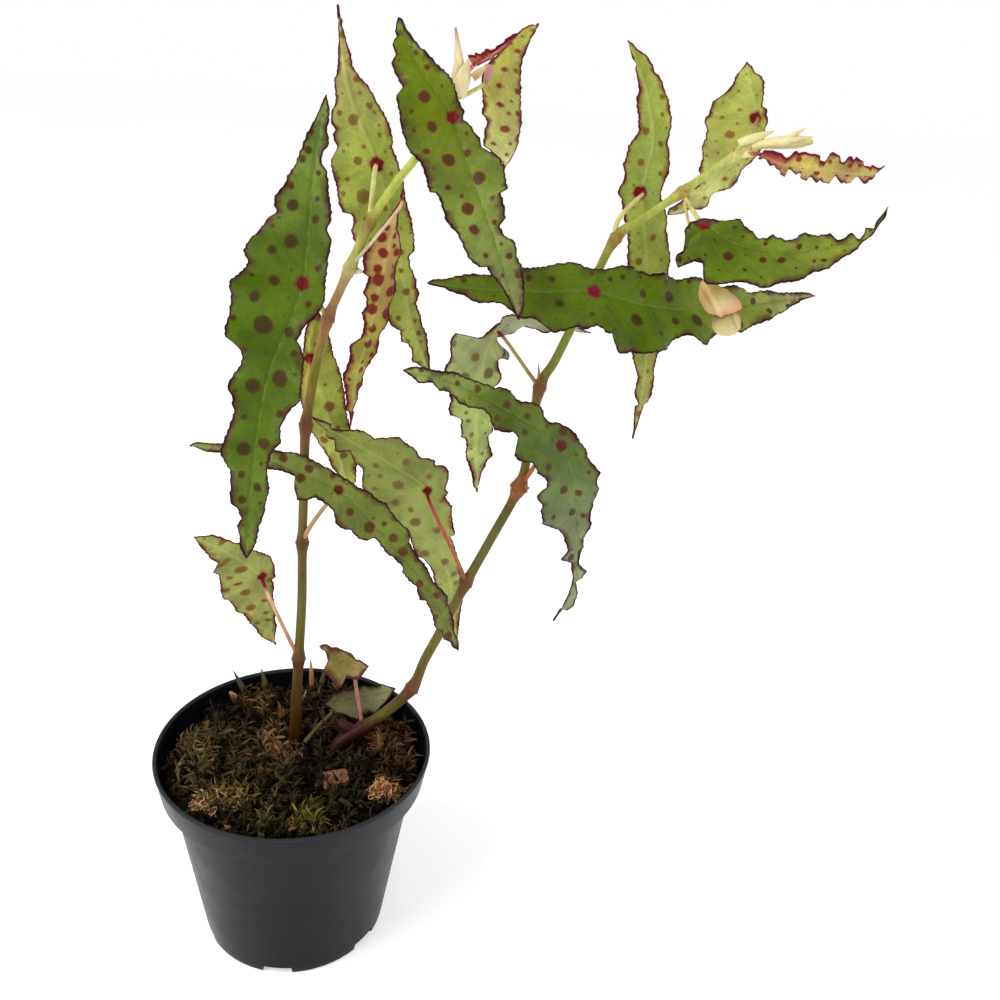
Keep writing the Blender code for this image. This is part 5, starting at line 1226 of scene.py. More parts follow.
def makeCane(name, nodeName, setup, leafNames, extras=()):
    rows = np.array(setup["route"], float) * mm
    curve, _ = smoothCurve(rows, int(routeLength(rows) / mm / caneSetup["ringStep"]))
    radii = curve[:, 3].copy()
    joints = [(np.array(place) * mm, colour) for place, _, colour, _, _ in setup["joints"]]
    for place, _ in joints:
        away = np.linalg.norm(curve[:, :3] - place, axis=1) / mm
        radii += caneSetup["swelling"] * mm * np.exp(-((away / caneSetup["swellingLength"]) ** 2))
        scar = np.exp(-((away / caneSetup["scarWide"]) ** 2)) - 0.6 * np.exp(-(((away - 1.4) / 0.5) ** 2))
        radii += caneSetup["scarRise"] * mm * scar
    cane = makeTube(name, curve[:, :3], radii, 6)
    places = placesOf(cane)
    # colours by height; the dark low ones are the base's own red-brown with painted shade near the soil
    heights, stops = zip(*setup["tones"])
    stops = np.array([seen(stop) for stop in stops])
    colour = np.column_stack([np.interp(places[:, 2] / mm, heights, column) for column in stops.T])
    for place, jointColour in joints:
        away = np.linalg.norm(places - place, axis=1) / mm
        strength = caneSetup["freshStain" if isFresh(jointColour) else "stain"]
        share = np.exp(-((away / caneSetup["stainLength"]) ** 2))[:, None] * strength
        colour = colour * (1 - share) + np.array(seen(jointColour)) * share
    storeColours(cane, "tone", colour)
    cane.data.materials.append(skins["cane"])
    parts = [cane] + [makeStalk(leafName) for leafName in leafNames]
    for number, extra in enumerate(extras):
        extra = np.array(extra, float) * mm
        stub = makeTube(f"{name}Stub{number}", extra[:, :3], extra[:, 3], 6)
        paintWhole(stub, "tone", caneSetup["stubTone"])
        stub.data.materials.append(skins["cane"])
        parts.append(stub)
    for number, (place, way, jointColour, long, wide) in enumerate(setup["joints"]):
        fresh = isFresh(jointColour)
        pale, tip = (jointColour, caneSetup["freshTip"]) if fresh else (caneSetup["paper"], caneSetup["tip"])
        paper = tuple(int(0.45 * old + 0.55 * new) for old, new in zip(jointColour, pale))
        start = np.array(place) + unit(way) * 1.4 - unit(np.diff(rows[:, :3], axis=0)[0]) * 0.4
        parts.append(makeScale(f"{name}Scale{number}", start, way, long, wide, paper, tip))
    finishPiece(parts, name, 45, "cane", nodeName)


# pot
potSetup = {
    "segments": 144, "bevel": 0.4,
    "notchCount": 6, "notchFirstDeg": -102, "notchWide": 13, "notchTall": 4, "notchInner": 33, "notchOuter": 47,
    "profile": (  # radius and height, from the edge of the foot over the rim to the inner floor
        (40, 0), (40.9, 0.9), (41.62, 5.6), (53.1, 80), (57.5, 80), (59.6, 91.8), (60, 92.8), (59.7, 94), (58.5, 94), (58.1, 92.8),
        (56.1, 81.4), (51.7, 81.4), (40.43, 5.6), (39.84, 1.6),
    ),
    # the last colour is a painted highlight along the top of the rim
    "colour": (9, 10, 16), "dust": (17, 18, 24), "scuffs": (36, 37, 42), "paintedRimHighlight": (46, 48, 51),
}


def cutNotches(pot):
    inner, outer = potSetup["notchInner"], potSetup["notchOuter"]
    notches = []
    for number in range(potSetup["notchCount"]):
        turn = math.radians(potSetup["notchFirstDeg"] + 360 / potSetup["notchCount"] * number)
        middle = (outer + inner) / 2 * mm
        place = (middle * math.cos(turn), middle * math.sin(turn), 0)
        notch = added(bpy.ops.mesh.primitive_cube_add, size=1, location=place, rotation=(0, 0, turn))
        notch.scale = ((outer - inner) * mm, potSetup["notchWide"] * mm, 2 * potSetup["notchTall"] * mm)
        bpy.ops.object.transform_apply(location=True, rotation=True, scale=True)
        applyModifier(notch, "BEVEL", width=1.1 * mm, segments=4, limit_method="ANGLE")
        notches.append(notch)
    for notch in notches:
        applyModifier(pot, "BOOLEAN", operation="DIFFERENCE", object=notch, solver="EXACT")
    discard(notches)


def makePot():
    profile, add = potSetup["profile"], bpy.ops.mesh.primitive_circle_add
    pot = added(add, vertices=potSetup["segments"], radius=profile[0][0] * mm, fill_type="NGON", location=(0, 0, 0))
    pot.name = pot.data.name = "potShell"
    editAll(pot)
    for (radius, height), (nextRadius, nextHeight) in zip(profile, profile[1:]):
        extrudeRing((nextHeight - height) * mm, nextRadius / radius, nextHeight * mm)
    closeEdit()
    applyModifier(pot, "BEVEL", width=potSetup["bevel"] * mm, segments=3, limit_method="ANGLE", angle_limit=math.radians(20))
    cutNotches(pot)
    smoothShade(pot, 28)
    plastic, tree, shader = newMaterial("satinPlastic", 0.34)
    place = objectPlace(tree)
    height = node(tree, "ShaderNodeSeparateXYZ", {0: place}).outputs["Z"]
    cloud, pores = grain(tree, place, 38, 4, 0.6), grain(tree, place, 2300, 2)
    scuff = grain(tree, place, 160, 4, 0.7, (1, 1, 0.16))
    colour = blend(tree, ease(tree, cloud, 0.4, 0.75, 0, 0.3), solid(potSetup["colour"]), solid(potSetup["dust"]))
    dusty = sums(tree, "MULTIPLY", ease(tree, scuff, 0.56, 0.8), ease(tree, height, 0.0, 0.03, 0.4, 0.12))
    colour = blend(tree, dusty, colour, solid(potSetup["scuffs"]))
    # the top of the lip is painted lighter than the rest: a painted highlight along the rim
    colour = blend(tree, ease(tree, height, 0.0926, 0.0932), colour, solid(potSetup["paintedRimHighlight"]))
    relief = bump(tree, cloud, 0.0006, 0.25, bump(tree, pores, 0.00006, 0.5))
    dress(tree, shader, colour, ease(tree, cloud, 0.3, 0.7, 0.28, 0.38), relief, 0.08)
    pot.data.materials.append(plastic)
    settle(pot, "pot_plastic", "pot")


# soil and what lies on it
soilSetup = {
    "level": 84, "relief": 1.6, "radius": 55.8, "edge": 81.9, "cells": 168, "mossy": (66, 62, 32),
    "colours": ((0.3, (4, 3, 2)), (0.45, (16, 11, 7)), (0.56, (32, 23, 14)), (0.68, (52, 39, 23)), (0.85, (78, 60, 36))),
    "clear": ((-0.4, 12), (17.6, 4), (4.2, 8.6), (23, 8)), "clearRadius": 3.4, "hummock": 3.2,
    "patches": (  # tufts of moss: middle in the photo, spread and rise in mm, count, tone
        ((178, 758), 14, 4.6, 84, (102, 86, 50)), ((222, 742), 13, 4.6, 70, (88, 72, 40)), ((205, 778), 12, 4.2, 60, (92, 80, 44)),
        ((232, 800), 8, 4.4, 44, (124, 108, 50)), ((246, 770), 11, 3.6, 50, (60, 52, 30)), ((270, 748), 12, 5.0, 74, (126, 96, 58)),
        ((256, 700), 14, 7.4, 70, (100, 76, 42)), ((286, 786), 12, 4.2, 60, (54, 48, 24)), ((268, 826), 7, 5.0, 36, (104, 96, 46)),
        ((309, 822), 7, 5.0, 38, (110, 98, 42)), ((240, 828), 9, 3.6, 36, (56, 46, 26)), ((338, 806), 11, 4.0, 54, (50, 46, 24)),
        ((345, 770), 8, 3.4, 22, (44, 36, 20)), ((386, 745), 12, 5.2, 60, (96, 66, 38)), ((366, 722), 11, 4.6, 36, (60, 46, 26)),
        ((222, 712), 12, 6.2, 48, (48, 39, 32)), ((300, 716), 13, 6.0, 50, (90, 66, 34)), ((330, 700), 12, 6.4, 44, (60, 52, 26)),
        ((404, 774), 9, 4.6, 36, (80, 58, 34)), ((176, 724), 10, 5.4, 34, (60, 48, 30)), ((318, 756), 9, 2.8, 24, (42, 34, 18)),
        ((238, 696), 9, 6.4, 30, (52, 44, 26)), ((280, 688), 9, 6.4, 30, (64, 50, 28)),
    ),
    "sheaths": (  # dry pointed sheaths: foot and tip in the photo, half-width in mm, colours of foot and tip
        ((252, 704), (233, 670), 1.9, (44, 46, 24), (84, 80, 52)), ((244, 702), (223, 687), 1.5, (150, 108, 74), (204, 158, 130)),
        ((268, 694), (261, 668), 1.7, (74, 64, 38), (96, 84, 54)), ((196, 778), (194, 762), 0.7, (112, 112, 88), (130, 128, 104)),
        ((313, 692), (310, 658), 1.6, (128, 84, 50), (190, 140, 96)), ((320, 692), (324, 669), 2.0, (58, 56, 30), (96, 92, 58)),
        ((302, 706), (306, 689), 1.1, (150, 116, 78), (190, 152, 108)),
        ((236, 832), (224, 824), 1.6, (140, 100, 62), (160, 118, 76)),
    ),
}


def soilHeight(x, y):  # as the solid's, in metres
    lumps = noise.noise(Vector((x, y, 0)) / (11 * mm)) + 0.5 * noise.noise(Vector((y, x, mm)) / (5 * mm))
    return (soilSetup["level"] + soilSetup["relief"] * max(-0.9, min(1.2, lumps))) * mm


def soilTop(x, y):  # finer lumps on top of it
    crumbs = noise.noise(Vector((x, y, 0.02)) / (2.6 * mm)) + 0.6 * noise.noise(Vector((x, y, 0.05)) / (1.2 * mm))
    return soilHeight(x, y) + 0.75 * mm * crumbs


def makeSoil():
    add, cells, radius = bpy.ops.mesh.primitive_grid_add, soilSetup["cells"], soilSetup["radius"]
    soil = added(add, x_subdivisions=cells, y_subdivisions=cells, size=2)
    soil.name = soil.data.name = "pottingSoil"
    x, y = (value * radius * mm for value in roundGrid(soil))
    rim = np.clip((radius - np.hypot(x, y) / mm) / 2.5, 0, 1)
    z = np.array([soilTop(px, py) for px, py in zip(x, y)])
    low = soilSetup["edge"] * mm
    movePlaces(soil, np.column_stack([x, y, low + (z - low) * rim**0.7]))
    editAll(soil)
    bpy.ops.mesh.select_all(action="DESELECT")
    bpy.ops.mesh.select_mode(type="EDGE")
    bpy.ops.mesh.select_non_manifold()
    for rise in (-0.1, -20):
        extrudeRing(rise * mm, 0.9, 0)
    bpy.ops.mesh.edge_face_add()
    closeEdit()
    smoothShade(soil, 70)
    peat, tree, shader = newMaterial("dampPeat", 0.85)
    place = objectPlace(tree)
    mixed, fine = grain(tree, place, 260, 5, 0.7), grain(tree, place, 1300, 4, 0.7)
    both = sums(tree, "ADD", sums(tree, "MULTIPLY", mixed, 0.65), sums(tree, "MULTIPLY", fine, 0.35))
    mossy = ease(tree, grain(tree, place, 70, 3), 0.5, 0.68, 0, 0.55)
    colour = blend(tree, mossy, tones(tree, both, soilSetup["colours"]), solid(soilSetup["mossy"]))
    dress(tree, shader, colour, ease(tree, mixed, 0.3, 0.7, 0.7, 0.95), bump(tree, fine, 0.0007, 0.9), 0.1)
    soil.data.materials.append(peat)
    settle(soil, "soil", "substrate")


def litterMaterial(name, roughness, spread):
    made, tree, shader = newMaterial(name, roughness)
    mottle = grain(tree, objectPlace(tree), 900, 4, 0.7)
    colour = multiplied(tree, attribute(tree, "tone"), ease(tree, mottle, 0.25, 0.75, 1 - spread, 1 + spread))
    worn = ease(tree, mottle, 0.3, 0.7, roughness - 0.1, roughness + 0.08)
    dress(tree, shader, colour, worn, bump(tree, mottle, 0.0003, 0.7), 0.12)
    return made


def makeCrumb(seed):
    crumb = added(bpy.ops.mesh.primitive_ico_sphere_add, subdivisions=2, radius=1)
    places = placesOf(crumb)
    jitter = np.random.default_rng(seed).uniform(0.72, 1.12, (len(places), 1))
    movePlaces(crumb, places * jitter * (1, 0.75, 0.6))
    return crumb


def makeStrand(seed, curl=1.0):  # one dry strand along +Z, flat, tapered and bent
    random = np.random.default_rng(seed)
    strand = added(bpy.ops.mesh.primitive_circle_add, vertices=3, radius=0.055, fill_type="NGON")
    editAll(strand)
    for step, grow in enumerate((1.7, 1.1, 0.9, 0.7, 0.14)):
        extrudeRing(0.2, grow, 0.2 * step + 0.2)
    closeEdit()
    places = placesOf(strand)
    curve, z = random.uniform(0.5, 1.9) * curl, places[:, 2].copy()
    twist = random.uniform(-1.5, 1.5) * z
    out = 1 / curve + places[:, 0] * np.cos(twist) - 0.4 * places[:, 1] * np.sin(twist)
    sway = places[:, 0] * np.sin(twist) + 0.4 * places[:, 1] * np.cos(twist) + 0.14 * curl * np.sin(z * 5 + seed)
    movePlaces(strand, np.column_stack([1 / curve - out * np.cos(curve * z), sway, out * np.sin(curve * z)]))
    return strand


def makeTuft(seed):  # a lock of five strands, combed one way
    random = np.random.default_rng(seed)
    parts = []
    for number in range(5):
        strand = makeStrand(seed * 7 + number)
        lean = Matrix.Rotation(random.uniform(0, 1.1), 4, "Y")
        spin = Matrix.Rotation(random.uniform(-1.1, 1.1), 4, "Z")
        strand.data.transform(spin @ lean @ Matrix.Scale(random.uniform(0.6, 1.15), 4))
        parts.append(strand)
    return joinPieces(parts, f"mossTuft{seed}")


def makeFibre(seed):
    steps = np.linspace(0, 1, 7)
    bends = np.random.default_rng(seed).uniform(-1, 1, 4)
    sway = 0.3 * bends[0] * np.sin(steps * 4 + bends[1])
    rise = 0.22 * np.sin(steps * 3.1) + 0.12 * bends[2] * np.sin(steps * 6)
    return makeTube(f"fibre{seed}", np.column_stack([steps * 2 - 1, sway, rise]), 0.05 * (1 - 0.75 * steps**2), 0)


def makeFlake(seed):
    flake = added(bpy.ops.mesh.primitive_cube_add, size=1)
    places = placesOf(flake) * (2, 1.2, 0.3)
    movePlaces(flake, places + np.random.default_rng(seed).uniform(-0.16, 0.16, places.shape))
    applyModifier(flake, "BEVEL", width=0.07, segments=1)
    return flake


def onSoil(spot):  # where the line of sight through a photo spot meets the soil, in mm
    way = sightWay(spot)
    there = eye + way * ((soilSetup["level"] + 1) * mm - eye[2]) / way[2]
    return there[0] / mm, there[1] / mm


def onDisc(random):  # a turn and a reach that fill a circle evenly
    return random.uniform(0, 2 * math.pi), math.sqrt(random.uniform(0, 1))


def evenly(palette, lift):  # a place anywhere on the soil
    def place(random):
        turn, out = onDisc(random)
        out *= soilSetup["radius"] - 1.8
        return out * math.cos(turn), out * math.sin(turn), lift, palette[int(random.integers(len(palette)))]
    return place


def inPatches(random):  # a place in one of the patches of moss, higher in the middle of it
    patches = soilSetup["patches"]
    counts = np.array([patch[3] for patch in patches], float)
    middle, spread, rise, _, tone = patches[int(random.choice(len(patches), p=counts / counts.sum()))]
    x, y = onSoil(middle)
    turn, out = onDisc(random)
    changes = random.uniform(-12, 12) + np.array((6, 3, -4)) * random.uniform(-1, 1)
    tone = tuple(max(0, value + change) for value, change in zip(tone, changes))
    lift = rise * (1 - out**2) * random.uniform(0.3, 1) - 0.3
    return x + out * spread * math.cos(turn), y + out * spread * math.sin(turn), lift, tone


def placedCopy(template, name, place, shade):
    mesh = template.data.copy()
    mesh.transform(place)
    piece = bpy.data.objects.new(name, mesh)
    bpy.context.scene.collection.objects.link(piece)
    storeColours(piece, "tone", np.tile(shade, (len(mesh.vertices), 1)))
    return piece


def gather(pieces, name, material, degrees, slotName, *nodes):  # as one piece of one material
    whole = joinPieces(pieces, name)
    whole.data.materials.clear()
    whole.data.materials.append(material)
    finishPiece([whole], name, degrees, slotName, *nodes)


def scatter(name, layer, templates, material):
    random = np.random.default_rng(layer["seed"])
    where = evenly(layer["tones"], layer["lift"]) if "tones" in layer else inPatches
    copies = []
    while len(copies) < layer["count"]:
        x, y, lift, colour = where(random)
        lean, spin, tilt = random.uniform(*layer["leans"]), random.uniform(0, 6.3), random.uniform(0, 6.3)
        size = random.uniform(*layer["sizes"])
        hummock = noise.noise(Vector((x, y, 30)) / 5.5) + 0.4 * noise.noise(Vector((x, y, 60)) / 2.6)
        lift += soilSetup["hummock"] * hummock
        # pieces low in the hollows between hummocks are painted darker and those on top lighter: painted shade and
        # light, times a random tone
        toneAndHollowShade = random.uniform(0.55, 1.2) * min(1.5, max(0.12, 0.85 + 1.7 * hummock))
        template = templates[int(random.integers(len(templates)))]
        if any(np.hypot(x - cx, y - cy) < soilSetup["clearRadius"] for cx, cy in soilSetup["clear"]):
            continue
        if np.hypot(x, y) > soilSetup["radius"] - 0.4 - 0.5 * size:
            continue
        place = Matrix.Translation((x * mm, y * mm, soilTop(x * mm, y * mm) + lift * mm))
        place = place @ Matrix.Rotation(tilt, 4, "Z") @ Matrix.Rotation(lean, 4, "X")
        place = place @ Matrix.Rotation(spin, 4, "Z") @ Matrix.Scale(size * mm, 4)
        copies.append(placedCopy(template, name, place, [min(1, value * toneAndHollowShade) for value in seen(colour)]))
    gather(copies, name, material, 40, layer["slot"])


# what lies strewn on the soil: layers without tones of their own lie in the patches
litterSetup = {
    "peatCrumbs": {
        "count": 460, "sizes": (0.7, 2.1), "leans": (0, 1.5), "lift": 0.1, "seed": 11, "slot": "soil", "skin": "peatBits",
        "tones": ((30, 22, 14), (42, 30, 18), (60, 44, 27), (84, 62, 38), (20, 15, 10), (52, 26, 20)),
    },
    "whiteGrains": {
        "count": 22, "sizes": (0.25, 0.5), "leans": (0, 0.5), "lift": 0.6, "seed": 12, "slot": "soil", "skin": "peatBits",
        "tones": ((200, 192, 176), (176, 160, 130)),
    },
    "mossTufts": {
        "count": sum(patch[3] for patch in soilSetup["patches"]), "sizes": (4, 8.5), "leans": (0, 1.1),
        "seed": 13, "slot": "dry_moss", "skin": "mossBits",
    },
    "mossUnder": {
        "count": 430, "sizes": (4.5, 8.5), "leans": (0.2, 1.3), "lift": 1.6, "seed": 17, "slot": "dry_moss", "skin": "mossBits",
        "tones": ((40, 31, 20), (56, 44, 27), (72, 58, 35), (30, 24, 17), (50, 44, 28), (84, 64, 38)),
    },
    "mossStrands": {
        "count": 1000, "sizes": (3.4, 7.6), "leans": (0.9, 1.75), "seed": 16, "slot": "dry_moss", "skin": "mossBits",
    },
    "rootFibres": {
        "count": 170, "sizes": (1.8, 5.2), "leans": (0, 0.5), "lift": 0.6, "seed": 14, "slot": "dry_moss", "skin": "mossBits",
        "tones": ((112, 88, 52), (86, 64, 38), (138, 112, 72), (60, 46, 28), (100, 98, 58)),
    },
    "barkFlakes": {
        "count": 90, "sizes": (0.7, 1.9), "leans": (0, 0.9), "lift": 0.5, "seed": 15, "slot": "bark", "skin": "peatBits",
        "tones": ((86, 56, 32), (56, 38, 24), (120, 82, 50), (40, 30, 20)),
    },
}


def makeSheaths():
    sheaths = []
    for number, (foot, tip, wide, colour, tipColour) in enumerate(soilSetup["sheaths"]):
        x, y = (value * mm for value in onSoil(foot))
        start = np.array((x, y, soilTop(x, y) + 0.2 * mm))
        way = fromPhoto(tip, start) - start
        length = np.linalg.norm(way) / mm
        sheaths.append(makeScale(f"drySheath{number}", start / mm, way, length, wide, colour, tipColour))
    finishPiece(sheaths, "drySheaths", 50, "dry_moss")


def makeLitter():
    bits = {"peatBits": litterMaterial("peatBits", 0.82, 0.35), "mossBits": litterMaterial("mossBits", 0.7, 0.3)}
    for make, shape, seeds, names in (
        (makeCrumb, (), (1, 2, 3), ("peatCrumbs", "whiteGrains")),
        (makeTuft, (), (21, 22, 23, 24), ("mossTufts", "mossUnder")),
        (makeStrand, (1.4,), (25, 26, 27, 28), ("mossStrands",)),
        (makeFibre, (), (31, 32, 33, 34), ("rootFibres",)),
        (makeFlake, (), (41, 42, 43), ("barkFlakes",)),
    ):
        templates = [make(seed, *shape) for seed in seeds]
        for name in names:
            scatter(name, litterSetup[name], templates, bits[litterSetup[name]["skin"]])
        discard(templates)


clumpSetup = {
    "moss_clump_left": {
        "middle": (-33, -24), "half": (11, 8.4), "tall": 5.4, "strands": 380,
        "tones": ((228, 176, 128), (200, 146, 96), (158, 138, 70), (240, 190, 146), (124, 110, 52), (140, 102, 62)),
    },
    "moss_clump_right": {
        "middle": (38, -25), "half": (8.2, 6.8), "tall": 4.8, "strands": 300,
        "tones": ((234, 174, 118), (206, 146, 92), (244, 192, 140), (168, 116, 70), (132, 90, 52)),
    },
}


def makeClump(name, setup, seed, material):  # a tangle of dry strands over a small core
    random = np.random.default_rng(seed)
    middle = np.array((*setup["middle"], 0)) * mm
    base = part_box(name)[0].z
    (wide, deep), tall, palette = setup["half"], setup["tall"], setup["tones"]
    core = added(bpy.ops.mesh.primitive_ico_sphere_add, subdivisions=4, radius=1)
    places = placesOf(core)
    ragged = np.array([1 + 0.22 * noise.noise(Vector(place) * 3.1 + Vector((seed, 0, 0))) for place in places])
    places = places * ragged[:, None] * (np.array((wide * 0.82, deep * 0.82, tall * 0.8)) * mm) + middle
    places[:, 2] = np.maximum(places[:, 2], -0.5 * mm) + base + 0.3 * mm
    movePlaces(core, places)
    paintWhole(core, "tone", tuple(int(value * 0.42) for value in palette[0]))
    strands = [makeStrand(seed * 10 + number, 1.9) for number in range(5)]
    parts = [core]
    for _ in range(setup["strands"]):
        turn, out = onDisc(random)
        x, y = out * math.cos(turn) * wide * 0.8, out * math.sin(turn) * deep * 0.8
        z = tall * math.cos(out * math.pi / 2.3) * random.uniform(0.45, 0.85)
        place = Matrix.Translation((middle[0] + x * mm, middle[1] + y * mm, base + max(z, 0.4) * mm))
        place = place @ Matrix.Rotation(turn + random.uniform(-1.1, 1.1), 4, "Z")
        place = place @ Matrix.Rotation(random.uniform(0.3, 1.6) * (0.4 + 0.6 * out), 4, "Y")
        place = place @ Matrix.Rotation(random.uniform(0, 6.3), 4, "Z") @ Matrix.Scale(random.uniform(2.6, 5.0) * mm, 4)
        strand = strands[int(random.integers(5))]
        colour = seen(palette[int(random.integers(len(palette)))])
        parts.append(placedCopy(strand, name, place, [value * random.uniform(0.7, 1.15) for value in colour]))
    discard(strands)
    gather(parts, name + "Tangle", material, 50, "dry_moss", name)


chipSetup = {
    "bark_chip_front": {
        "size": (13, 9, 3), "turnDeg": 20, "leanDeg": 8, "colours": ((72, 42, 26), (132, 82, 52), (176, 122, 82)),
    },
    "bark_chip_middle": {
        "size": (12, 6, 2.4), "turnDeg": -35, "leanDeg": 6, "colours": ((70, 46, 30), (104, 70, 44), (132, 94, 62)),
    },
    "bark_chip_back": {
        "size": (10, 7, 2.6), "turnDeg": 60, "leanDeg": -7, "colours": ((78, 46, 30), (124, 78, 50), (150, 102, 66)),
    },
}


def makeChip(name, setup, seed):
    low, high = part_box(name)
    chip = added(bpy.ops.mesh.primitive_cube_add, size=1, location=(0, 0, 0))
    chip.name = chip.data.name = name + "Rough"
    editAll(chip)
    bpy.ops.transform.resize(value=tuple(value * mm for value in setup["size"]), center_override=(0, 0, 0))
    bpy.ops.mesh.bevel(offset=0.5 * mm, segments=2)
    bpy.ops.mesh.select_all(action="SELECT")
    bpy.ops.mesh.subdivide(number_cuts=9)
    bpy.ops.object.mode_set(mode="OBJECT")
    places = placesOf(chip)
    half = np.array(setup["size"]) / 2 * mm
    moved = []
    for place in places:
        spot = Vector(place)
        ridge = noise.noise(Vector((spot.x * 160, spot.y * 900 + seed, spot.z * 500)))
        ragged = noise.noise(Vector((spot.x * 420 + seed, spot.y * 420, 0)))
        moved.append(place * (1 + 0.14 * ragged * (np.abs(place) > half * 0.8)) + (0, 0, 0.32 * mm * ridge))
    turn, lean = math.radians(setup["turnDeg"]), math.radians(setup["leanDeg"])
    turned = Matrix.Rotation(turn, 3, "Z") @ Matrix.Rotation(lean, 3, "Y")
    moved = np.array(moved) @ np.array(turned).T
    movePlaces(chip, moved + np.array((low + high) / 2))
    smoothShade(chip, 45)
    bark, tree, shader = newMaterial(name + "Bark", 0.8)
    place = objectPlace(tree)
    layers, fine = grain(tree, place, 420, 4, 0.7, (0.5, 1.6, 1.6)), grain(tree, place, 1800, 3)
    colour = tones(tree, layers, tuple(zip((0.32, 0.5, 0.68), setup["colours"])))
    colour = multiplied(tree, colour, ease(tree, fine, 0.3, 0.7, 0.8, 1.12))
    dress(tree, shader, colour, ease(tree, layers, 0.3, 0.7, 0.68, 0.9), bump(tree, layers, 0.0006, 0.8))
    chip.data.materials.append(bark)
    settle(chip, "bark", name)


# flower and the growing tips
flowerSetup = {
    "stalk": ((143.9, -2.2, 334), (148, -1.6, 325), (154.6, -3, 313), (155.4, -8, 307.5), (154.6, -11, 305)),
    "stalkRadius": 0.6, "stalkTone": (206, 190, 120), "ovary": 1.5, "ovaryTone": (204, 198, 130),
    "tepals": {
        "upper": {
            "beside": (158.5, -16, 301), "middle": (717, 298), "cup": 2.4, "slant": (0.1, -0.25),
            "pinks": ((222, 0.6, (186, 112, 74)), (-18, 0.8, (220, 132, 112))),
            "margin": (
                (702.5, 280), (699, 291), (703.5, 305), (710.5, 312), (717.5, 313), (723, 315.5), (726.7, 312.5), (736.7, 310),
                (743.5, 306.7), (741.7, 301.7), (736.7, 295.8), (730, 291.7), (721.7, 288), (710, 284),
            ),
            "ridges": ((32, -4.6, 2, 0.4), (32, -8.4, 1.6, -0.5)),
            "tones": ((190, 166, 106), (176, 148, 90), (206, 184, 132), (222, 178, 140)),
        },
        "lower": {
            "beside": (161.5, -16.4, 292), "middle": (727, 324), "cup": 2.2, "slant": (-0.1, 0.3),
            "pinks": ((0, 0.15, (216, 132, 108)),),
            "margin": (
                (718, 313), (714, 319), (713, 326), (717, 333), (724, 336), (732, 335), (738, 331), (741, 323), (740, 315),
                (735, 311), (726, 309),
            ),
            "ridges": ((18.4, 10, 1.8, 0.4), (18.4, 7, 1.4, -0.4)),
            "tones": ((158, 130, 84), (200, 184, 132), (208, 192, 142)),
        },
    },
}


def makeTepal(name, tepal):  # a shallow cup, its outline as in the photo
    petal = added(bpy.ops.mesh.primitive_grid_add, x_subdivisions=36, y_subdivisions=36, size=2)
    petal.name = name
    x, y = roundGrid(petal)
    out, turn = np.hypot(x, y), np.arctan2(y, x)
    right, up = ((np.array(tepal["margin"], float) - tepal["middle"]) * (1, -1)).T
    reach = np.interp(turn, np.arctan2(up, right), np.hypot(right, up), period=2 * math.pi)
    centre = fromPhoto(tepal["middle"], np.array(tepal["beside"]) * mm)
    unitLength = (centre - eye) @ lookWay / cameraSetup["pixelsPerUnit"]
    x, y = reach * out * np.cos(turn) * unitLength, reach * out * np.sin(turn) * unitLength
    deep = tepal["slant"][0] * x + tepal["slant"][1] * y + tepal["cup"] * mm * (out**2 - 0.5)
    deep += 0.22 * mm * out**2 * np.sin(turn * 5)
    # light: each ridge is painted lighter along its crest, a painted highlight
    light = np.ones(len(x))
    for leanDeg, offset, wide, tall in tepal["ridges"]:  # across the tepal, offset and width in the photo's pixels
        lean = math.radians(leanDeg)
        away = (x * math.cos(lean) + y * math.sin(lean)) / unitLength - offset
        ridge = np.exp(-((away / wide) ** 2)) * (1 - 0.6 * out**2)
        deep -= tall * mm * ridge
        light += tall * 0.7 * ridge
    movePlaces(petal, centre + np.outer(x, rightWay) + np.outer(y, upWay) + np.outer(deep, lookWay))
    along = x - y
    # the tepal's colour along it, times the painted highlight on the ridges
    colour = strongTone(tepal["tones"], (along - along.min()) / (along.max() - along.min())) * light[:, None]
    for pinkDeg, strength, pink in tepal["pinks"]:
        sector = np.clip(np.cos(turn - math.radians(pinkDeg)) * 2 - 0.6, 0, 1)
        stain = (np.clip(out, 0, 1) ** 4 * sector * strength)[:, None]
        colour = colour * (1 - stain) + np.array(seen(pink)) * stain
    storeColours(petal, "tone", colour)
    applyModifier(petal, "SOLIDIFY", thickness=0.45 * mm, offset=0)
    petal.data.materials.append(skins["petal"])
    return petal


def makeFlower():
    curve, _ = smoothCurve(np.array(flowerSetup["stalk"], float) * mm, 40)
    stalk = makeTube("flowerStalk", curve, np.full(len(curve), flowerSetup["stalkRadius"] * mm), 3)
    paintWhole(stalk, "tone", flowerSetup["stalkTone"])
    end, add = np.array(flowerSetup["stalk"][-1]) * mm, bpy.ops.mesh.primitive_ico_sphere_add
    ovary = added(add, subdivisions=3, radius=flowerSetup["ovary"] * mm, location=end)
    bpy.ops.object.transform_apply(location=True, rotation=True, scale=True)
    places = placesOf(ovary) - end
    turn = np.arctan2(places[:, 1], places[:, 0])
    movePlaces(ovary, places * (1 + 0.14 * np.cos(3 * turn))[:, None] + end)
    paintWhole(ovary, "tone", flowerSetup["ovaryTone"])
    for piece in (stalk, ovary):
        piece.data.materials.append(skins["petal"])
    tepals = [makeTepal(name + "Tepal", tepal) for name, tepal in flowerSetup["tepals"].items()]
    finishPiece([stalk, ovary, *tepals], "flowerOpen", 50, "petal", "flower")


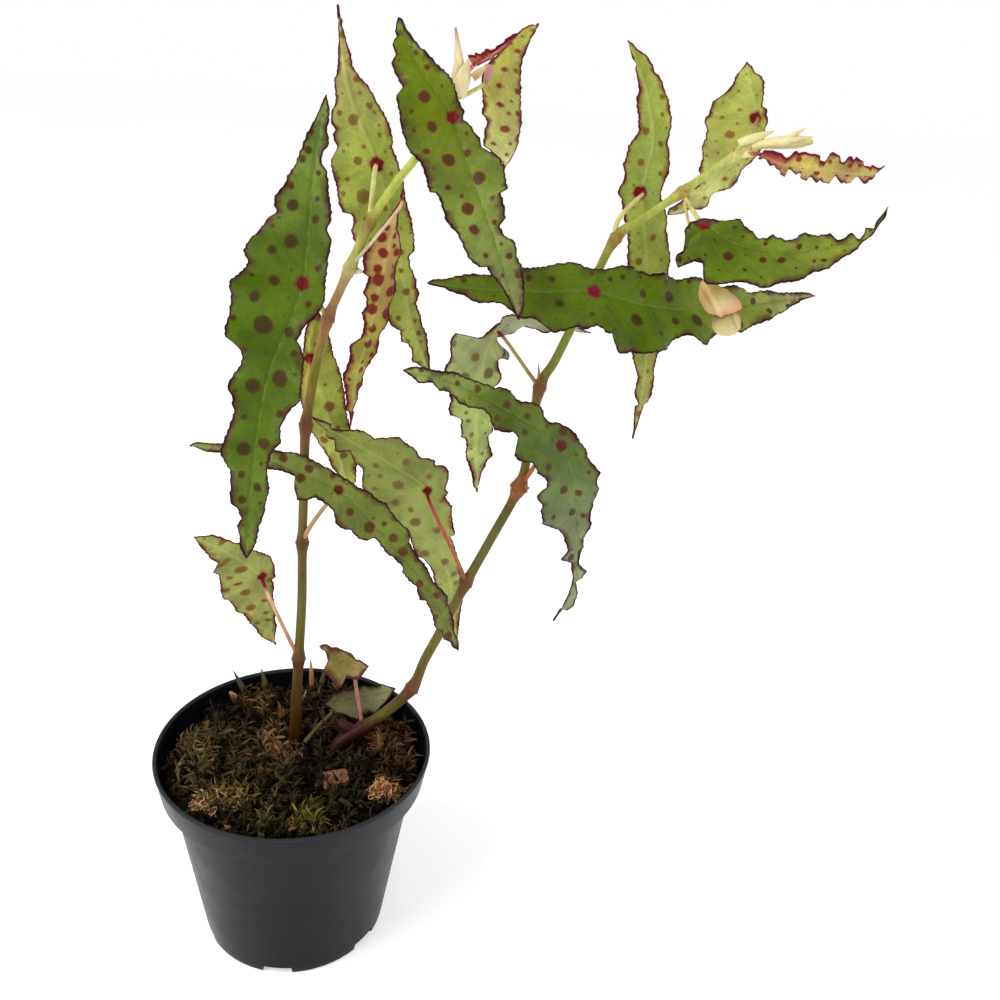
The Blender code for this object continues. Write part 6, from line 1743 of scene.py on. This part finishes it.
tipSetup = {
    "left": {
        "tube": (
            (57.4, -0.6, 366.9, 0.9), (57.2, -1.6, 369, 1.9), (56.8, -1.8, 373, 2.1), (56.2, -1.2, 379, 1.2), (54.8, -1, 386, 0.4),
        ),
        "tones": ((206, 204, 120), (226, 216, 166), (226, 206, 160), (150, 130, 96)),
        "bracts": (  # from and to in the photo, half-width in mm, colour
            ((458, 97), (458, 46), 3.0, (220, 210, 164)), ((459, 96), (467, 59), 3.7, (228, 216, 170)),
            ((457, 70), (456, 29), 0.9, (170, 152, 118)), ((473, 78), (486, 66), 1.6, (176, 134, 88)),
        ),
    },
    "right": {
        "tube": (
            (168, 0, 354.3, 1.1), (172, -0.2, 355.8, 1.8), (178, -0.3, 356.8, 2.5), (186, -0.6, 357.6, 2.5), (191.5, -1, 358, 1.0),
        ),
        "tones": ((216, 206, 140), (234, 222, 160), (236, 226, 170), (222, 206, 140)),
        "bracts": (
            ((739, 144), (774, 131), 2.3, (226, 222, 160)), ((735, 153), (758, 155), 1.9, (220, 216, 152)),
            ((789, 138), (805, 128), 1.1, (228, 222, 164)), ((788, 141), (813, 137), 1.3, (224, 214, 158)),
        ),
    },
    "bractTip": (214, 196, 140),
}


def makeTip(name, nodeName, setup):
    curve, _ = smoothCurve(np.array(setup["tube"], float) * mm, 40)
    core = makeTube(name + "Core", curve[:, :3], curve[:, 3] * 0.92, 6)
    nearest, _ = nearestOn(placesOf(core), curve[:, :3])
    storeColours(core, "tone", strongTone(setup["tones"], nearest / (len(curve) - 1)))
    core.data.materials.append(skins["petal"])
    parts = [core]
    for number, (start, end, wide, colour) in enumerate(setup["bracts"]):
        beside = curve[len(curve) // 3, :3] - lookWay * (0.6 + 0.35 * number) * mm
        begin, finish = fromPhoto(start, beside), fromPhoto(end, beside)
        length = np.linalg.norm(finish - begin) / mm
        bract = makeScale(
            f"{name}Bract{number}", begin / mm, finish - begin, length, wide, colour, tipSetup["bractTip"], "petal",
        )
        parts.append(bract)
    finishPiece(parts, name, 50, "petal", nodeName)


def softMaterial(name, roughness, streak, shine, scale=700):
    made, tree, shader = newMaterial(name, roughness)
    place = objectPlace(tree)
    lengthwise, mottle = grain(tree, place, scale, 3, 0.6, (1, 1, 0.12)), grain(tree, place, 240, 4, 0.6)
    colour = multiplied(tree, attribute(tree, "tone"), ease(tree, lengthwise, 0.3, 0.7, 1 - streak, 1 + streak))
    colour = multiplied(tree, colour, ease(tree, mottle, 0.3, 0.7, 1 - streak * 0.8, 1 + streak * 0.7))
    worn = ease(tree, mottle, 0.3, 0.7, roughness - 0.07, roughness + 0.08)
    dress(tree, shader, colour, worn, bump(tree, lengthwise, 0.00015, 0.6), shine)
    return made


makeCamera()
makeStage()
print("camera and stage set")

skins = {
    "upper": bladeMaterial("leafUpper", "upperToneAndSheen", "upperSpot", "upperRim", skinLooks["upper"]),
    "under": bladeMaterial("leafUnder", "underToneAndSheen", "underSpot", "underRim", skinLooks["under"]),
    "cane": softMaterial("caneSkin", 0.42, 0.14, 0.16),
    "papery": softMaterial("paperyScale", 0.62, 0.18, 0.2, 1100),
    "petal": softMaterial("waxyPetal", 0.48, 0.05, 0.25, 900),
}
makePot()
makeSoil()
print("pot and soil made")
makeLitter()
makeSheaths()
dryMoss = litterMaterial("dryMossStrands", 0.78, 0.22)
for seed, (name, setup) in enumerate(clumpSetup.items()):
    makeClump(name, setup, 60 + seed, dryMoss)
for seed, (name, setup) in enumerate(chipSetup.items()):
    makeChip(name, setup, seed)
print("litter on the soil made")

leftLeaves = [name for name in leaves if name.startswith("leaf_left")]
rightLeaves = [name for name in leaves if name.startswith("leaf_right")] + ["leaf_soil_small"]
makeCane("caneLeftBark", "cane_left", caneSetup["left"], leftLeaves)
makeCane("caneRightBark", "cane_right", caneSetup["right"], rightLeaves, [caneSetup["cutStub"]])
finishPiece([makeStalk("leaf_soil_low", stalkSetup["lowRoot"])], "lowStalkSkin", 45, "cane", "stalk_low")
print("canes and stalks made")
for seed, (name, leaf) in enumerate(leaves.items()):
    makeBlade(name, leaf, seed)
flap = makeScale("foldedFlap", (69.2, 6, 375.2), (-0.3, 0.1, -0.95), 7.8, 1.9, (200, 152, 144), (172, 110, 108), "petal")
finishPiece([flap], "foldedFlap", 50, "young_leaf")
print("leaves made")
makeFlower()
makeTip("tipLeftBracts", "bract_left", tipSetup["left"])
makeTip("tipRightBud", "bud_right", tipSetup["right"])
print("flower and tips made")

bpy.context.view_layer.update()
